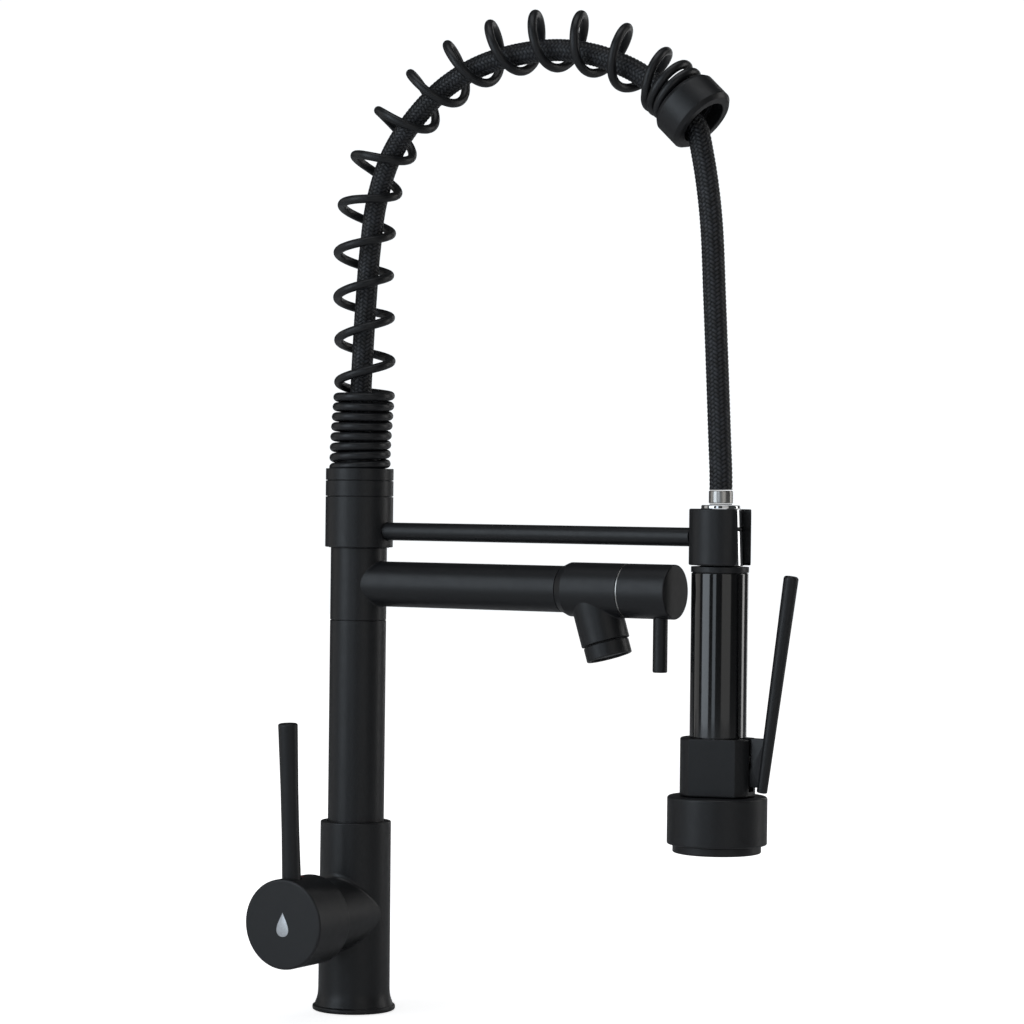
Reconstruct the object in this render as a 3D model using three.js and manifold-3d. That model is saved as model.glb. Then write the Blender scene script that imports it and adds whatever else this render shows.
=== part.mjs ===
// Pull-down kitchen faucet: a deck-mounted mixer with a column, a swinging spout with its own
// shut-off knob, and a coil-spring arch that carries a spray head docked in a C-shaped clip.
// Millimetres, +Z up. The origin is the centre of the base's underside, the spout and the holder
// arm point along +X and the mixer handle points along -Y.

import * as THREE from 'three';
import { mergeVertices } from 'three/addons/utils/BufferGeometryUtils.js';
import Module from 'manifold-3d';

const wasm = await Module();
wasm.setup();

// ---------------------------------------------------------------- driving dimensions
const GAP = 0.3;                 // running and seating gap between neighbouring pieces
const ROUND = 24;                // sides of a large turned piece
const SMALL = 14;                // sides of a small turned piece
const EDGE = 0.4;                // chamfer of the arm's turned edges
const DEG = Math.PI / 180;

const base = { flangeR: 23.6, flangeTop: 2.6, flareTop: 14, lowR: 20.4, topR: 20.1, top: 107.6, edge: 0.8 };
const column = { r: 16, innerR: 13.8, foot: 92.3, top: 222 };
const core = { foot: 80.3, top: 296, boreR: 5, stemR: 8, headR: 10.5, headFoot: 214 };
const seals = { lower: 230, upper: 256, r: 9.98, section: 0.8 };
const sleeve = { foot: 222.3, top: 263.4 };
const collar = { r: 19.3, foot: 263.7, top: 292.4 };
const lockRing = { foot: 292.7, top: 301.5 };
const seat = {
  foot: 301.8, top: 308.4, floor: 303.9, recessR: 18.1, innerR: 7.6, spigotR: 11.6, spigotTop: 318,
};

const mixer = { z: 56, bonnetR: 20, bonnetEnd: 43.1, cavityR: 17, cavityFloor: 6, threadR: 18.3 };
const cartridge = { foot: 7.6, top: 29.4, wallR: 16.7 };
const pivotDepth = 38;           // handle's tilt centre, measured outward from the column axis
const water = { r: 3, mainR: 4, inAside: 8, inDown: 7, outUp: 9 };
const hoseSocket = { r: 5, depth: 18 };
const stud = { r: 2.4, out: 11.5, depth: 14 };
const gasket = { inner: 17, outer: 21, top: 1.8 };
const hub = { r: 25, back: 43.4, face: 73.1, cupR: 22, cupFloor: 52, plugOut: 55.2 };
const stick = { out: 63.1, foot: 13.5, end: 111, lean: 3.5, r: 5.25, waistR: 4.9, endR: 5.45 };

const spout = { z: 243, r: 12.8, boreR: 9.5, tubeEnd: 134.9 };
const valve = { foot: 135.2, flare: 139.8, end: 173.9, r: 14.9, chamberR: 10.5 };
const knob = { foot: 174.9, end: 203.6, r: 14.87, stickX: 194.5, stickR: 4, stickEnd: 43.7 };
const nozzle = { x: 152.2, tilt: 17.2, r: 13.4, end: 29.7, aeratorR: 12.6, aeratorEnd: 38.3 };

const rod = { z: 272.9, r: 5.05, start: 12.5 };
const spray = { x: 230 };        // distance of the spray axis from the column axis
const clip = { r: 16.8, foot: 258.1, top: 288.2, boreTopR: 11.9, boreFootR: 13.2, slot: 17.2 };
const neck = {
  foot: 257.8, top: 290.2, footR: 12.5, shoulderR: 11.2, shoulder: 287.9, topR: 10.4, boreR: 4.5, stemR: 6.5,
  stemFoot: 238, grooveR: 10.2,
};
const grip = { r: 15.25, innerR: 13, foot: 166.3, top: 254 };
const block = { r: 20.2, foot: 135.1, top: 166, flatDistance: 15.9, flatAngle: 75 };
const skirt = { r: 26.8, foot: 109.1, top: 134.8, round: 1.3, innerR: 20.4, holeR: 8.5 };
const plate = { r: 23.7, foot: 104.3, top: 108.8, holeR: 9, spigotR: 20, spigotTop: 116.8 };
const lever = {
  x: 256.3, z: 137.8, lean: 7.8, length: 116.4, footR: 2.85, topR: 4, tipRound: 1.6, finWidth: 4.4,
};
// Side view of the lever's flat fin, from its pivot to the bar.
const finOutline = [[246, 140.6], [256.2, 140.6], [259.6, 166.6], [250.6, 166.6], [250.2, 150], [245.6, 146]];
const leverPivot = { x: 247.5, z: 143 };
const plungerZ = 155;

const wire = {
  r: 2.5, coilR: 15, sides: 5, stepsPerTurn: 12, closePitch: 5.63, closeTurns: 7.89,
  sagPitch: 24.45, sagTurns: 3.2, openTurns: 10.25, endTurns: 2.1,
};
const hoseR = 6.2;
const endCollar = {
  x: 210.6, z: 501.6, dip: 43.8, r: 19.4, half: 9.2, spigotR: 11.6, spigotLength: 8, boreR: 13.2,
  innerR: 10.4, stepAt: 1.5,
};

// Centreline of the coil spring, from the seat on the column over the arch to the end collar.
const coilRoute = [
  [0, 308.2], [0.3, 322], [1.2, 335], [2.6, 354], [2.6, 372], [2.1, 390], [1.2, 410], [1.2, 430],
  [4.6, 462], [14.6, 488.5], [31, 509.8], [52, 526.2], [74.8, 537.8], [100.6, 544.1], [127.9, 544.6],
  [152, 540], [170, 532.4], [186.2, 521.9], [195.3, 515.8], [201.9, 509.9],
];
// Centreline of the hose: inside the spring, then through the end collar and down to the ferrule.
const hoseArchRoute = [
  [0, 309.5], [0, 325], [0, 347], [1.2, 375], [3, 405], [5.2, 432], [9.4, 460.3], [19, 486.1],
  [34.4, 506.3], [53.9, 522.6], [76.2, 533.2], [101.1, 538.5], [127.5, 539.4], [149, 535.6],
  [165, 529.9], [176, 524.6], [186, 518.1], [196, 511.2], [202.16, 505.81], [204.83, 503.25],
];
const hoseDropRoute = [
  [205.12, 502.97], [207.58, 500.62], [209.83, 497.91], [211.7, 494.8], [213.5, 491.2], [216.7, 478],
  [219.7, 462], [222.5, 440], [224.9, 400], [227.1, 360], [228.9, 325], [229.8, 308], [230, 298.4],
];

// ---------------------------------------------------------------- finishes
const finishes = {
  satinBlack: { color: 0x24262a, roughness: 0.42, metalness: 0.35 },
  glossBlack: { color: 0x151619, roughness: 0.12, metalness: 0 },
  springBlack: { color: 0x2a2c31, roughness: 0.4, metalness: 0.4 },
  braid: { color: 0x1b1d22, roughness: 0.6, metalness: 0 },
  chrome: { color: 0xd8dadd, roughness: 0.08, metalness: 1 },
  steel: { color: 0xb4b2ae, roughness: 0.25, metalness: 1 },
  brass: { color: 0xb08d57, roughness: 0.35, metalness: 1 },
  rubber: { color: 0x18181a, roughness: 0.9, metalness: 0 },
  ceramic: { color: 0xece9e2, roughness: 0.3, metalness: 0 },
  acetal: { color: 0xd9d7d0, roughness: 0.5, metalness: 0 },
  mesh: { color: 0x8c8f92, roughness: 0.5, metalness: 0.2 },
  indicator: { color: 0xb03030, roughness: 0.3, metalness: 0 },
};

// ---------------------------------------------------------------- geometry helpers

// Merge shared vertices, drop collapsed triangles and make the faces point outward.
function closed(geometry) {
  geometry.deleteAttribute('normal');
  geometry.deleteAttribute('uv');
  const merged = mergeVertices(geometry, 1e-4);
  const place = merged.getAttribute('position');
  const corners = [new THREE.Vector3(), new THREE.Vector3(), new THREE.Vector3()];
  const kept = [];
  let volume = 0;
  for (let i = 0; i < merged.index.count; i += 3) {
    const ids = [0, 1, 2].map((k) => merged.index.getX(i + k));
    if (ids[0] === ids[1] || ids[1] === ids[2] || ids[2] === ids[0]) continue;
    corners.forEach((corner, k) => corner.fromBufferAttribute(place, ids[k]));
    volume += corners[0].dot(corners[1].cross(corners[2]));
    kept.push(ids);
  }
  merged.setIndex(kept.flatMap(([a, b, c]) => (volume < 0 ? [a, c, b] : [a, b, c])));
  return merged;
}

// A solid of revolution about +Z. The profile is a list of [radius, height] pairs that starts and
// ends on the axis, or closes on itself.
function turned(profile, sides = ROUND) {
  const points = profile.map(([r, z]) => new THREE.Vector2(r, z));
  return closed(new THREE.LatheGeometry(points, sides).rotateX(Math.PI / 2));
}

function disc(r, z0, z1, sides = ROUND) {
  return turned([[0, z0], [r, z0], [r, z1], [0, z1]], sides);
}

function ring(inner, outer, z0, z1, sides = ROUND) {
  return turned([[inner, z0], [outer, z0], [outer, z1], [inner, z1], [inner, z0]], sides);
}

// A disc whose two outer edges are chamfered.
function puck(r, z0, z1, chamfer, sides = ROUND) {
  return turned([[0, z0], ...chamfered(r, z0, z1, chamfer), [0, z1]], sides);
}

// The outer wall of a turned piece between two heights, with both its edges chamfered.
function chamfered(r, z0, z1, chamfer = EDGE) {
  return [[r - chamfer, z0], [r, z0 + chamfer], [r, z1 - chamfer], [r - chamfer, z1]];
}

// Points of an arc in a profile, centred at [cr, cz], from one angle to another in degrees.
function arc(cr, cz, radius, from, to, steps) {
  return Array.from({ length: steps + 1 }, (_, i) => {
    const angle = (from + ((to - from) * i) / steps) * DEG;
    return [cr + radius * Math.cos(angle), cz + radius * Math.sin(angle)];
  });
}

// An O-ring about +Z.
function oRing(mid, section, z) {
  return closed(new THREE.TorusGeometry(mid, section, 5, 16).translate(0, 0, z));
}

function boxAt(x0, x1, y0, y1, z0, z1) {
  const block = new THREE.BoxGeometry(x1 - x0, y1 - y0, z1 - z0);
  return closed(block.translate((x0 + x1) / 2, (y0 + y1) / 2, (z0 + z1) / 2));
}

// A flat outline in the XZ plane, extruded symmetrically about Y = 0.
function slab(outline, thickness) {
  const shape = new THREE.Shape(outline.map(([x, z]) => new THREE.Vector2(x, z)));
  const geometry = new THREE.ExtrudeGeometry(shape, { depth: thickness, bevelEnabled: false });
  return closed(geometry.rotateX(Math.PI / 2).translate(0, thickness / 2, 0));
}

// A copy turned about Y, then X, then Z, all in degrees, and moved.
function moved(geometry, { x = 0, y = 0, z = 0, turnX = 0, turnY = 0, turnZ = 0 }) {
  const copy = geometry.clone();
  copy.rotateY(turnY * DEG).rotateX(turnX * DEG).rotateZ(turnZ * DEG);
  return copy.translate(x, y, z);
}

// A round section carried along a curve.
function tubeAlong(curve, radius, sides, steps) {
  const corners = Array.from({ length: sides }, (_, i) => {
    const angle = (2 * Math.PI * (i + 0.5)) / sides;
    return new THREE.Vector2(radius * Math.cos(angle), radius * Math.sin(angle));
  });
  const section = new THREE.Shape(corners);
  return closed(new THREE.ExtrudeGeometry(section, { steps, extrudePath: curve, bevelEnabled: false }));
}

function routeCurve(route) {
  return new THREE.CatmullRomCurve3(route.map(([x, z]) => new THREE.Vector3(x, 0, z)), false, 'centripetal');
}

const toSolid = (geometry) => new wasm.Manifold(new wasm.Mesh({
  numProp: 3,
  vertProperties: new Float32Array(geometry.getAttribute('position').array),
  triVerts: new Uint32Array(geometry.index.array),
}));

function toGeometry(solid) {
  const mesh = solid.getMesh();
  const geometry = new THREE.BufferGeometry();
  geometry.setAttribute('position', new THREE.BufferAttribute(mesh.vertProperties, 3));
  geometry.setIndex(new THREE.BufferAttribute(mesh.triVerts, 1));
  return geometry;
}

function cut(body, ...tools) {
  return toGeometry(tools.reduce((left, tool) => left.subtract(toSolid(tool)), toSolid(body)));
}

function join(body, ...others) {
  return toGeometry(others.reduce((all, next) => all.add(toSolid(next)), toSolid(body)));
}

// ---------------------------------------------------------------- scene helpers
const faucet = new THREE.Group();

// A group whose local +Z is an axis of the object: lean turns it about Y, out lays it along -Y.
function frameAt({ x = 0, y = 0, z = 0, lean = 0, out = false }) {
  const group = new THREE.Group();
  group.position.set(x, y, z);
  group.rotation.set(out ? Math.PI / 2 : 0, lean * DEG, 0);
  faucet.add(group);
  return group;
}

function piece(group, name, geometry, finish) {
  const mesh = new THREE.Mesh(geometry, new THREE.MeshStandardMaterial(finishes[finish]));
  mesh.name = name;
  group.add(mesh);
}

const upright = frameAt({});
const mixerFrame = frameAt({ z: mixer.z, out: true });
const spoutFrame = frameAt({ z: spout.z, lean: 90 });
const nozzleFrame = frameAt({ x: nozzle.x, z: spout.z, lean: 180 - nozzle.tilt });
const sprayFrame = frameAt({ x: spray.x });
const endFrame = frameAt({ x: endCollar.x, z: endCollar.z, lean: 90 + endCollar.dip });

// ---------------------------------------------------------------- base and column
function buildBase() {
  const lip = 0.9;
  const lipR = base.flangeR - lip;
  const flare = [[base.lowR + 1.4, base.flangeTop + 1.6], [base.lowR + 0.6, base.flangeTop + 4.6]];
  const outline = [
    [0, 0], [lipR, 0], ...arc(lipR, lip, lip, -45, 0, 1), [base.flangeR, base.flangeTop - lip],
    ...arc(lipR, base.flangeTop - lip, lip, 30, 90, 2), ...flare, [base.lowR, base.flareTop],
    [base.topR, base.top - base.edge], [base.topR - base.edge, base.top], [0, base.top],
  ];
  const columnSocket = disc(column.r + GAP, column.foot - GAP, base.top + 1);
  const forward = (geometry, x = 0, up = 0) => moved(geometry, { turnX: 90, x, z: mixer.z + up });
  const mouth = mixer.bonnetEnd + 1;
  const coreSocket = disc(core.headR - 0.5, core.foot - 4.3, column.foot, 24);
  const outlet = disc(water.mainR, mixer.z + 6, core.foot - 2.3, 12);
  const bonnet = forward(disc(mixer.bonnetR, 0, mixer.bonnetEnd));
  const cavity = forward(disc(mixer.cavityR, mixer.cavityFloor, mouth));
  const threads = forward(disc(mixer.threadR, cartridge.top + GAP, mouth));
  const outletTurn = forward(disc(water.r, -2, mixer.cavityFloor + 1, 8), 0, water.outUp);
  const gasketGroove = ring(gasket.inner - GAP, gasket.outer + GAP, -1, gasket.top + GAP);
  const inlets = [-water.inAside, water.inAside].flatMap((x) => [
    moved(disc(hoseSocket.r, -1, hoseSocket.depth, 12), { x }),
    moved(disc(water.r, hoseSocket.depth - 1, mixer.z - 5, 8), { x }),
    forward(disc(water.r, -2, mixer.cavityFloor + 1, 8), x, -water.inDown),
  ]);
  const studs = [-stud.out, stud.out].map((y) => moved(disc(stud.r, -1, stud.depth, 8), { y }));
  const shell = join(turned(outline), bonnet);
  const sockets = [columnSocket, coreSocket, cavity, threads, gasketGroove, ...studs];
  piece(upright, 'base_body', cut(shell, ...sockets, outlet, outletTurn, ...inlets), 'satinBlack');
  piece(upright, 'base_gasket', ring(gasket.inner, gasket.outer, 0, gasket.top), 'rubber');
}

function buildColumn() {
  piece(upright, 'column_tube', ring(column.innerR, column.r, column.foot, column.top), 'satinBlack');
  const groove = (floorR, z, half) => [
    [core.headR, z - half], [floorR, z - half], [floorR, z + half], [core.headR, z + half],
  ];
  const { headR, stemR, boreR, foot, top, headFoot } = core;
  const shoulder = column.foot + 4.7;
  const shoulderR = column.innerR - 0.4;
  const profile = [
    [boreR, foot], [headR - 0.8, foot], [headR - 0.8, column.foot], [shoulderR, column.foot],
    [shoulderR, shoulder], [stemR, shoulder], [stemR, headFoot], [headR, headFoot],
    ...groove(headR - 1.4, seals.lower, 1.1),
    ...groove(headR - 2, spout.z, 5), ...groove(headR - 1.4, seals.upper, 1.1), [headR, top], [boreR, top],
    [boreR, foot],
  ];
  const sidePort = moved(disc(3.2, 3, 12, 12), { turnY: 90, z: spout.z });
  piece(upright, 'core_tube', cut(turned(profile, 20), sidePort), 'brass');
  piece(upright, 'core_oring_lower', oRing(seals.r, seals.section, seals.lower), 'rubber');
  piece(upright, 'core_oring_upper', oRing(seals.r, seals.section, seals.upper), 'rubber');
  const bushInner = headR + GAP;
  const bush = [
    [bushInner, 217.5], [13.5, 217.5], [13.5, 221.9], [12.7, 221.9], [12.7, 226.2], [bushInner, 226.2],
    [bushInner, 217.5],
  ];
  piece(upright, 'column_bush', turned(bush), 'acetal');
}

// ---------------------------------------------------------------- mixer cartridge and handle
function buildMixer() {
  const ways = [[-water.inAside, -water.inDown], [water.inAside, -water.inDown], [0, water.outUp]];
  const waterWays = ways.map(([x, y]) => moved(disc(2.6, 5, 14, 10), { x, y }));
  piece(mixerFrame, 'cartridge_seal', cut(disc(15, 6.3, 7.3), ...waterWays), 'rubber');
  piece(mixerFrame, 'fixed_disc', cut(disc(14, cartridge.foot, 10.2), ...waterWays), 'ceramic');
  piece(mixerFrame, 'moving_disc', disc(11, 10.5, 13), 'ceramic');
  const stem = [[0, 13.3], [10, 13.3], [10, 17], [7, 17], [7, 32.5], [0, 32.5]];
  piece(mixerFrame, 'cartridge_stem', turned(stem, 20), 'acetal');
  const { foot, top, wallR } = cartridge;
  const inside = [[7.4, top], [7.4, 20], [14.3, 20]];
  const housing = [[14.3, foot], [wallR, foot], [wallR, top], ...inside, [14.3, foot]];
  piece(mixerFrame, 'cartridge_housing', turned(housing), 'acetal');
  const nutFoot = top + GAP;
  const nutR = mixer.threadR - GAP;
  const dome = [[16.5, 43.2], [13.5, 46.2], [9.4, 47.5], [9.4, 45]];
  const nut = [[7.6, nutFoot], [nutR, nutFoot], [nutR, 42.8], ...dome, [7.6, 40], [7.6, nutFoot]];
  piece(mixerFrame, 'cartridge_nut', turned(nut), 'brass');
}

function buildHandle() {
  const pinR = 3.5;
  const leverEnd = 69;
  const ball = [[2.6, 33.6], [4.6, 35.8], [5, pivotDepth], [4.4, 40.4]];
  const pin = [[0, 33], ...ball, [pinR, 42], [pinR, leverEnd], [0, leverEnd]];
  piece(mixerFrame, 'stem_lever', turned(pin, SMALL), 'brass');
  const edge = 1;
  const cup = [
    [0, hub.cupFloor], [hub.cupR, hub.cupFloor], [hub.cupR, hub.back], [hub.r - 0.5, hub.back],
    [hub.r, hub.back + 0.5], [hub.r, hub.face - edge], [hub.r - edge, hub.face], [0, hub.face],
  ];
  const pinHole = disc(pinR + GAP, 50, leverEnd + GAP, SMALL);
  const stickHole = moved(disc(stick.r + 0.5, 13, 30, SMALL), { turnX: stick.lean - 90, z: stick.out });
  const screwHole = moved(disc(1.5, 3, 30, 10), { turnX: -90, z: hub.plugOut });
  const plugHole = moved(disc(2.2, 21, 30, 10), { turnX: -90, z: hub.plugOut });
  piece(mixerFrame, 'handle_hub', cut(turned(cup), pinHole, stickHole, screwHole, plugHole), 'satinBlack');
  const plugFrame = frameAt({ y: -hub.plugOut, z: mixer.z });
  piece(plugFrame, 'hub_set_screw', disc(1.2, 4.1, 9, 10), 'steel');
  piece(plugFrame, 'indicator_plug', puck(1.9, 21.6, 25.4, 0.4, 12), 'indicator');
  const profile = [
    [0, stick.foot], [stick.r, stick.foot], [stick.r, 25], [stick.waistR, 53], [stick.waistR, 73],
    [stick.endR, stick.end - 1.2], [stick.endR - 0.35, stick.end - 0.3], [stick.endR - 1.2, stick.end],
    [0, stick.end],
  ];
  const stickFrame = frameAt({ y: -stick.out, z: mixer.z });
  stickFrame.rotation.x = stick.lean * DEG;
  piece(stickFrame, 'handle_stick', turned(profile, 16), 'satinBlack');
}

// ---------------------------------------------------------------- swinging spout
function buildSpout() {
  const bearing = { r: core.headR + 0.5, reliefR: 13, reliefTop: 226.5 };
  const shell = [
    [bearing.reliefR, sleeve.foot], [column.r, sleeve.foot], [column.r, sleeve.top], [bearing.r, sleeve.top],
    [bearing.r, bearing.reliefTop], [bearing.reliefR, bearing.reliefTop], [bearing.reliefR, sleeve.foot],
  ];
  const tubeHole = moved(disc(spout.boreR - 2, 5, 20, 20), { turnY: 90, z: spout.z });
  piece(upright, 'spout_sleeve', cut(turned(shell), tubeHole), 'satinBlack');
  const sleeveCutter = moved(disc(column.r + GAP, -30, 30), { turnY: 90 });
  const tube = cut(ring(spout.boreR, spout.r, 5, spout.tubeEnd), sleeveCutter);
  piece(spoutFrame, 'spout_tube', tube, 'satinBlack');

  const { boreR } = spout;
  const body = [
    [boreR, valve.foot], [spout.r, valve.foot], [valve.r, valve.flare], [valve.r, valve.end],
    [valve.chamberR, valve.end], [valve.chamberR, 144], [boreR, 144], [boreR, valve.foot],
  ];
  const drop = { turnY: 90 - nozzle.tilt, z: nozzle.x };
  const outletHole = moved(disc(8, 3, 20, 16), drop);
  piece(spoutFrame, 'valve_body', cut(turned(body), outletHole), 'satinBlack');
  piece(spoutFrame, 'valve_cartridge', ring(4, 10.2, 162, valve.end, 24), 'brass');

  const valveCutter = moved(disc(valve.r + GAP, -40, 40), { turnY: nozzle.tilt - 90 });
  piece(nozzleFrame, 'nozzle_body', cut(ring(8, nozzle.r, 0, nozzle.end), valveCutter), 'satinBlack');
  const { aeratorR, aeratorEnd } = nozzle;
  const start = nozzle.end + 0.9;
  const housing = [
    [9, start], [aeratorR, start], [aeratorR, aeratorEnd - 0.6], [aeratorR - 0.6, aeratorEnd],
    [10.8, aeratorEnd], [10.8, 33], [9, 33], [9, start],
  ];
  piece(nozzleFrame, 'aerator_gasket', ring(9, 12, nozzle.end + 0.2, start - GAP), 'rubber');
  piece(nozzleFrame, 'aerator_housing', turned(housing), 'satinBlack');
  piece(nozzleFrame, 'aerator_insert', disc(10.5, 33.3, 36.2, 24), 'mesh');
}

function buildKnob() {
  piece(spoutFrame, 'valve_spindle', disc(3.6, 150, 185, 16), 'brass');
  piece(spoutFrame, 'knob_ring', ring(4.4, 14.6, valve.end + 0.2, knob.foot - 0.2, ROUND), 'steel');
  const edge = 0.8;
  const socket = { r: 4, floor: 186 };
  const shell = [
    [socket.r, knob.foot], [knob.r, knob.foot], [knob.r, knob.end - edge], [knob.r - edge, knob.end],
    [0, knob.end], [0, socket.floor], [socket.r, socket.floor], [socket.r, knob.foot],
  ];
  const stickHole = moved(disc(knob.stickR + GAP, 7, 20, 20), { turnY: 90, z: knob.stickX });
  piece(spoutFrame, 'valve_knob', cut(turned(shell), stickHole), 'satinBlack');
  const stickFrame = frameAt({ x: knob.stickX, z: spout.z, lean: 180 });
  piece(stickFrame, 'knob_stick', puck(knob.stickR, 7.5, knob.stickEnd, 0.7, 20), 'satinBlack');
}

// ---------------------------------------------------------------- holder arm and spring arch
function buildArm() {
  const { r } = collar;
  const innerR = core.headR + 0.5;
  const bushing = { r: 13, top: 267.7 };
  const shell = [
    [bushing.r, collar.foot], ...chamfered(r, collar.foot, collar.top), [innerR, collar.top],
    [innerR, bushing.top], [bushing.r, bushing.top], [bushing.r, collar.foot],
  ];
  const rodHole = moved(disc(rod.r + GAP, 8, 25, 20), { turnY: 90, z: rod.z });
  piece(upright, 'arm_collar', cut(turned(shell), rodHole), 'satinBlack');
  piece(upright, 'collar_bush', ring(core.headR + GAP, bushing.r - GAP, 264, 267.4), 'acetal');
  const lock = [
    [innerR, lockRing.foot], ...chamfered(r, lockRing.foot, lockRing.top), [innerR, lockRing.top],
    [innerR, lockRing.foot],
  ];
  piece(upright, 'lock_ring', turned(lock), 'satinBlack');
  const cup = [
    [seat.innerR, seat.foot], [r - EDGE, seat.foot], [r, seat.foot + EDGE], [r, seat.top],
    [seat.recessR, seat.top], [seat.recessR, seat.floor], [seat.spigotR, seat.floor],
    [seat.spigotR, seat.spigotTop],
    [seat.innerR, seat.spigotTop], [seat.innerR, seat.foot],
  ];
  piece(upright, 'spring_seat', turned(cup), 'satinBlack');
  piece(upright, 'hose_nipple', ring(4, 7.2, core.top + GAP, 309.2, 20), 'brass');

  const rodLength = spray.x - clip.r;
  const screwHole = disc(2, rodLength - 9, rodLength + 5, 12);
  const rodFrame = frameAt({ z: rod.z, lean: 90 });
  const clipCutter = moved(disc(clip.r + GAP, -20, 20), { turnY: 90, z: spray.x });
  const bar = cut(disc(rod.r, rod.start, rodLength + 2, 20), clipCutter, screwHole);
  piece(rodFrame, 'support_rod', bar, 'satinBlack');
  const screw = { r: 1.6, headR: 3, foot: rodLength - 8, head: rodLength + 2.4, end: rodLength + 3.8 };
  const screwProfile = [
    [0, screw.foot], [screw.r, screw.foot], [screw.r, screw.head], [screw.headR, screw.head],
    [screw.headR, screw.end], [0, screw.end],
  ];
  piece(rodFrame, 'clip_screw', turned(screwProfile, SMALL), 'steel');

  const [below, above] = [clip.foot - 1, clip.top + 1];
  const cone = [[0, below], [clip.boreFootR, below], [clip.boreTopR, above], [0, above]];
  const slotHalf = clip.slot / 2;
  const slot = boxAt(5, 20, -slotHalf, slotHalf, below, above);
  const threadHole = moved(disc(2, -20, -8, 12), { turnY: 90, z: rod.z });
  const headHole = moved(disc(3.4, -14.8, -8, 14), { turnY: 90, z: rod.z });
  const shellRing = puck(clip.r, clip.foot, clip.top, 0.8);
  piece(sprayFrame, 'holder_clip', cut(shellRing, turned(cone), slot, threadHole, headHole), 'satinBlack');
}

// The spring's wire: a helix about the coil route. Turns are close at both ends and open between.
class CoilCurve extends THREE.Curve {
  constructor() {
    super();
    this.middle = routeCurve(coilRoute);
    this.middle.arcLengthDivisions = 600;
    this.span = this.middle.getLength();
    this.arcLengthDivisions = 6000;
    const { closePitch, closeTurns, sagPitch, sagTurns, openTurns, endTurns } = wire;
    const sagLength = sagPitch * sagTurns;
    const openLength = this.span - closePitch * (closeTurns + endTurns) - sagLength;
    this.turns = closeTurns + sagTurns + openTurns + endTurns;
    this.lengths = [closePitch * closeTurns, sagLength, openLength, closePitch * endTurns];
    this.parts = [closeTurns, sagTurns, openTurns, endTurns];
  }

  // Length along the route after a number of turns.
  alongRoute(turn) {
    let left = turn;
    let length = 0;
    for (let i = 0; i < this.parts.length; i += 1) {
      const used = Math.min(left, this.parts[i]);
      length += (used / this.parts[i]) * this.lengths[i];
      left -= used;
    }
    return Math.min(length / this.span, 1);
  }

  getPoint(t, target = new THREE.Vector3()) {
    const turn = t * this.turns;
    const u = this.alongRoute(turn);
    const tangent = this.middle.getTangentAt(u);
    const angle = 2 * Math.PI * turn;
    const side = new THREE.Vector3(-tangent.z, 0, tangent.x).multiplyScalar(Math.cos(angle));
    side.y -= Math.sin(angle);
    return target.copy(this.middle.getPointAt(u)).addScaledVector(side, wire.coilR);
  }
}

function buildSpringAndHose() {
  const coil = new CoilCurve();
  const steps = Math.round(coil.turns * wire.stepsPerTurn);
  piece(upright, 'coil_spring', tubeAlong(coil, wire.r, wire.sides, steps), 'springBlack');
  piece(upright, 'hose_arch', tubeAlong(routeCurve(hoseArchRoute), hoseR, 8, 30), 'braid');
  piece(upright, 'hose_drop', tubeAlong(routeCurve(hoseDropRoute), hoseR, 8, 14), 'braid');
  const { r, half, spigotR, spigotLength, boreR, innerR, stepAt } = endCollar;
  const rear = -half - spigotLength;
  const barrel = [
    [innerR, rear], [spigotR, rear], [spigotR, -half], [r - 1.4, -half], [r, -half + 2.2], [r, half - 2],
    [r - 2, half], [boreR, half], [boreR, stepAt], [innerR, stepAt], [innerR, rear],
  ];
  piece(endFrame, 'end_collar', turned(barrel), 'satinBlack');
}

// ---------------------------------------------------------------- docking neck and spray head
function buildNeck() {
  piece(sprayFrame, 'hose_ferrule', ring(4.2, 6.45, 291.2, 298, 24), 'steel');
  piece(sprayFrame, 'swivel_washer', ring(4.2, 6, 290.45, 290.95, 24), 'rubber');
  const grooveZ = 277.5;
  const [low, high] = [grooveZ - 1, grooveZ + 1];
  const slope = (neck.shoulderR - neck.footR) / (neck.shoulder - neck.foot);
  const taper = (z) => neck.footR + slope * (z - neck.foot);
  const { boreR, stemR, stemFoot, grooveR } = neck;
  const profile = [
    [boreR, stemFoot], [stemR, stemFoot], [stemR, neck.foot], [neck.footR, neck.foot], [taper(low), low],
    [grooveR, low], [grooveR, high], [taper(high), high], [neck.shoulderR, neck.shoulder],
    [neck.topR, neck.shoulder + 0.6], [neck.topR, neck.top], [boreR, neck.top], [boreR, stemFoot],
  ];
  piece(sprayFrame, 'docking_neck', turned(profile, ROUND), 'chrome');
  piece(sprayFrame, 'neck_oring', oRing(11.0, 0.6, grooveZ), 'rubber');
}

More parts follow.
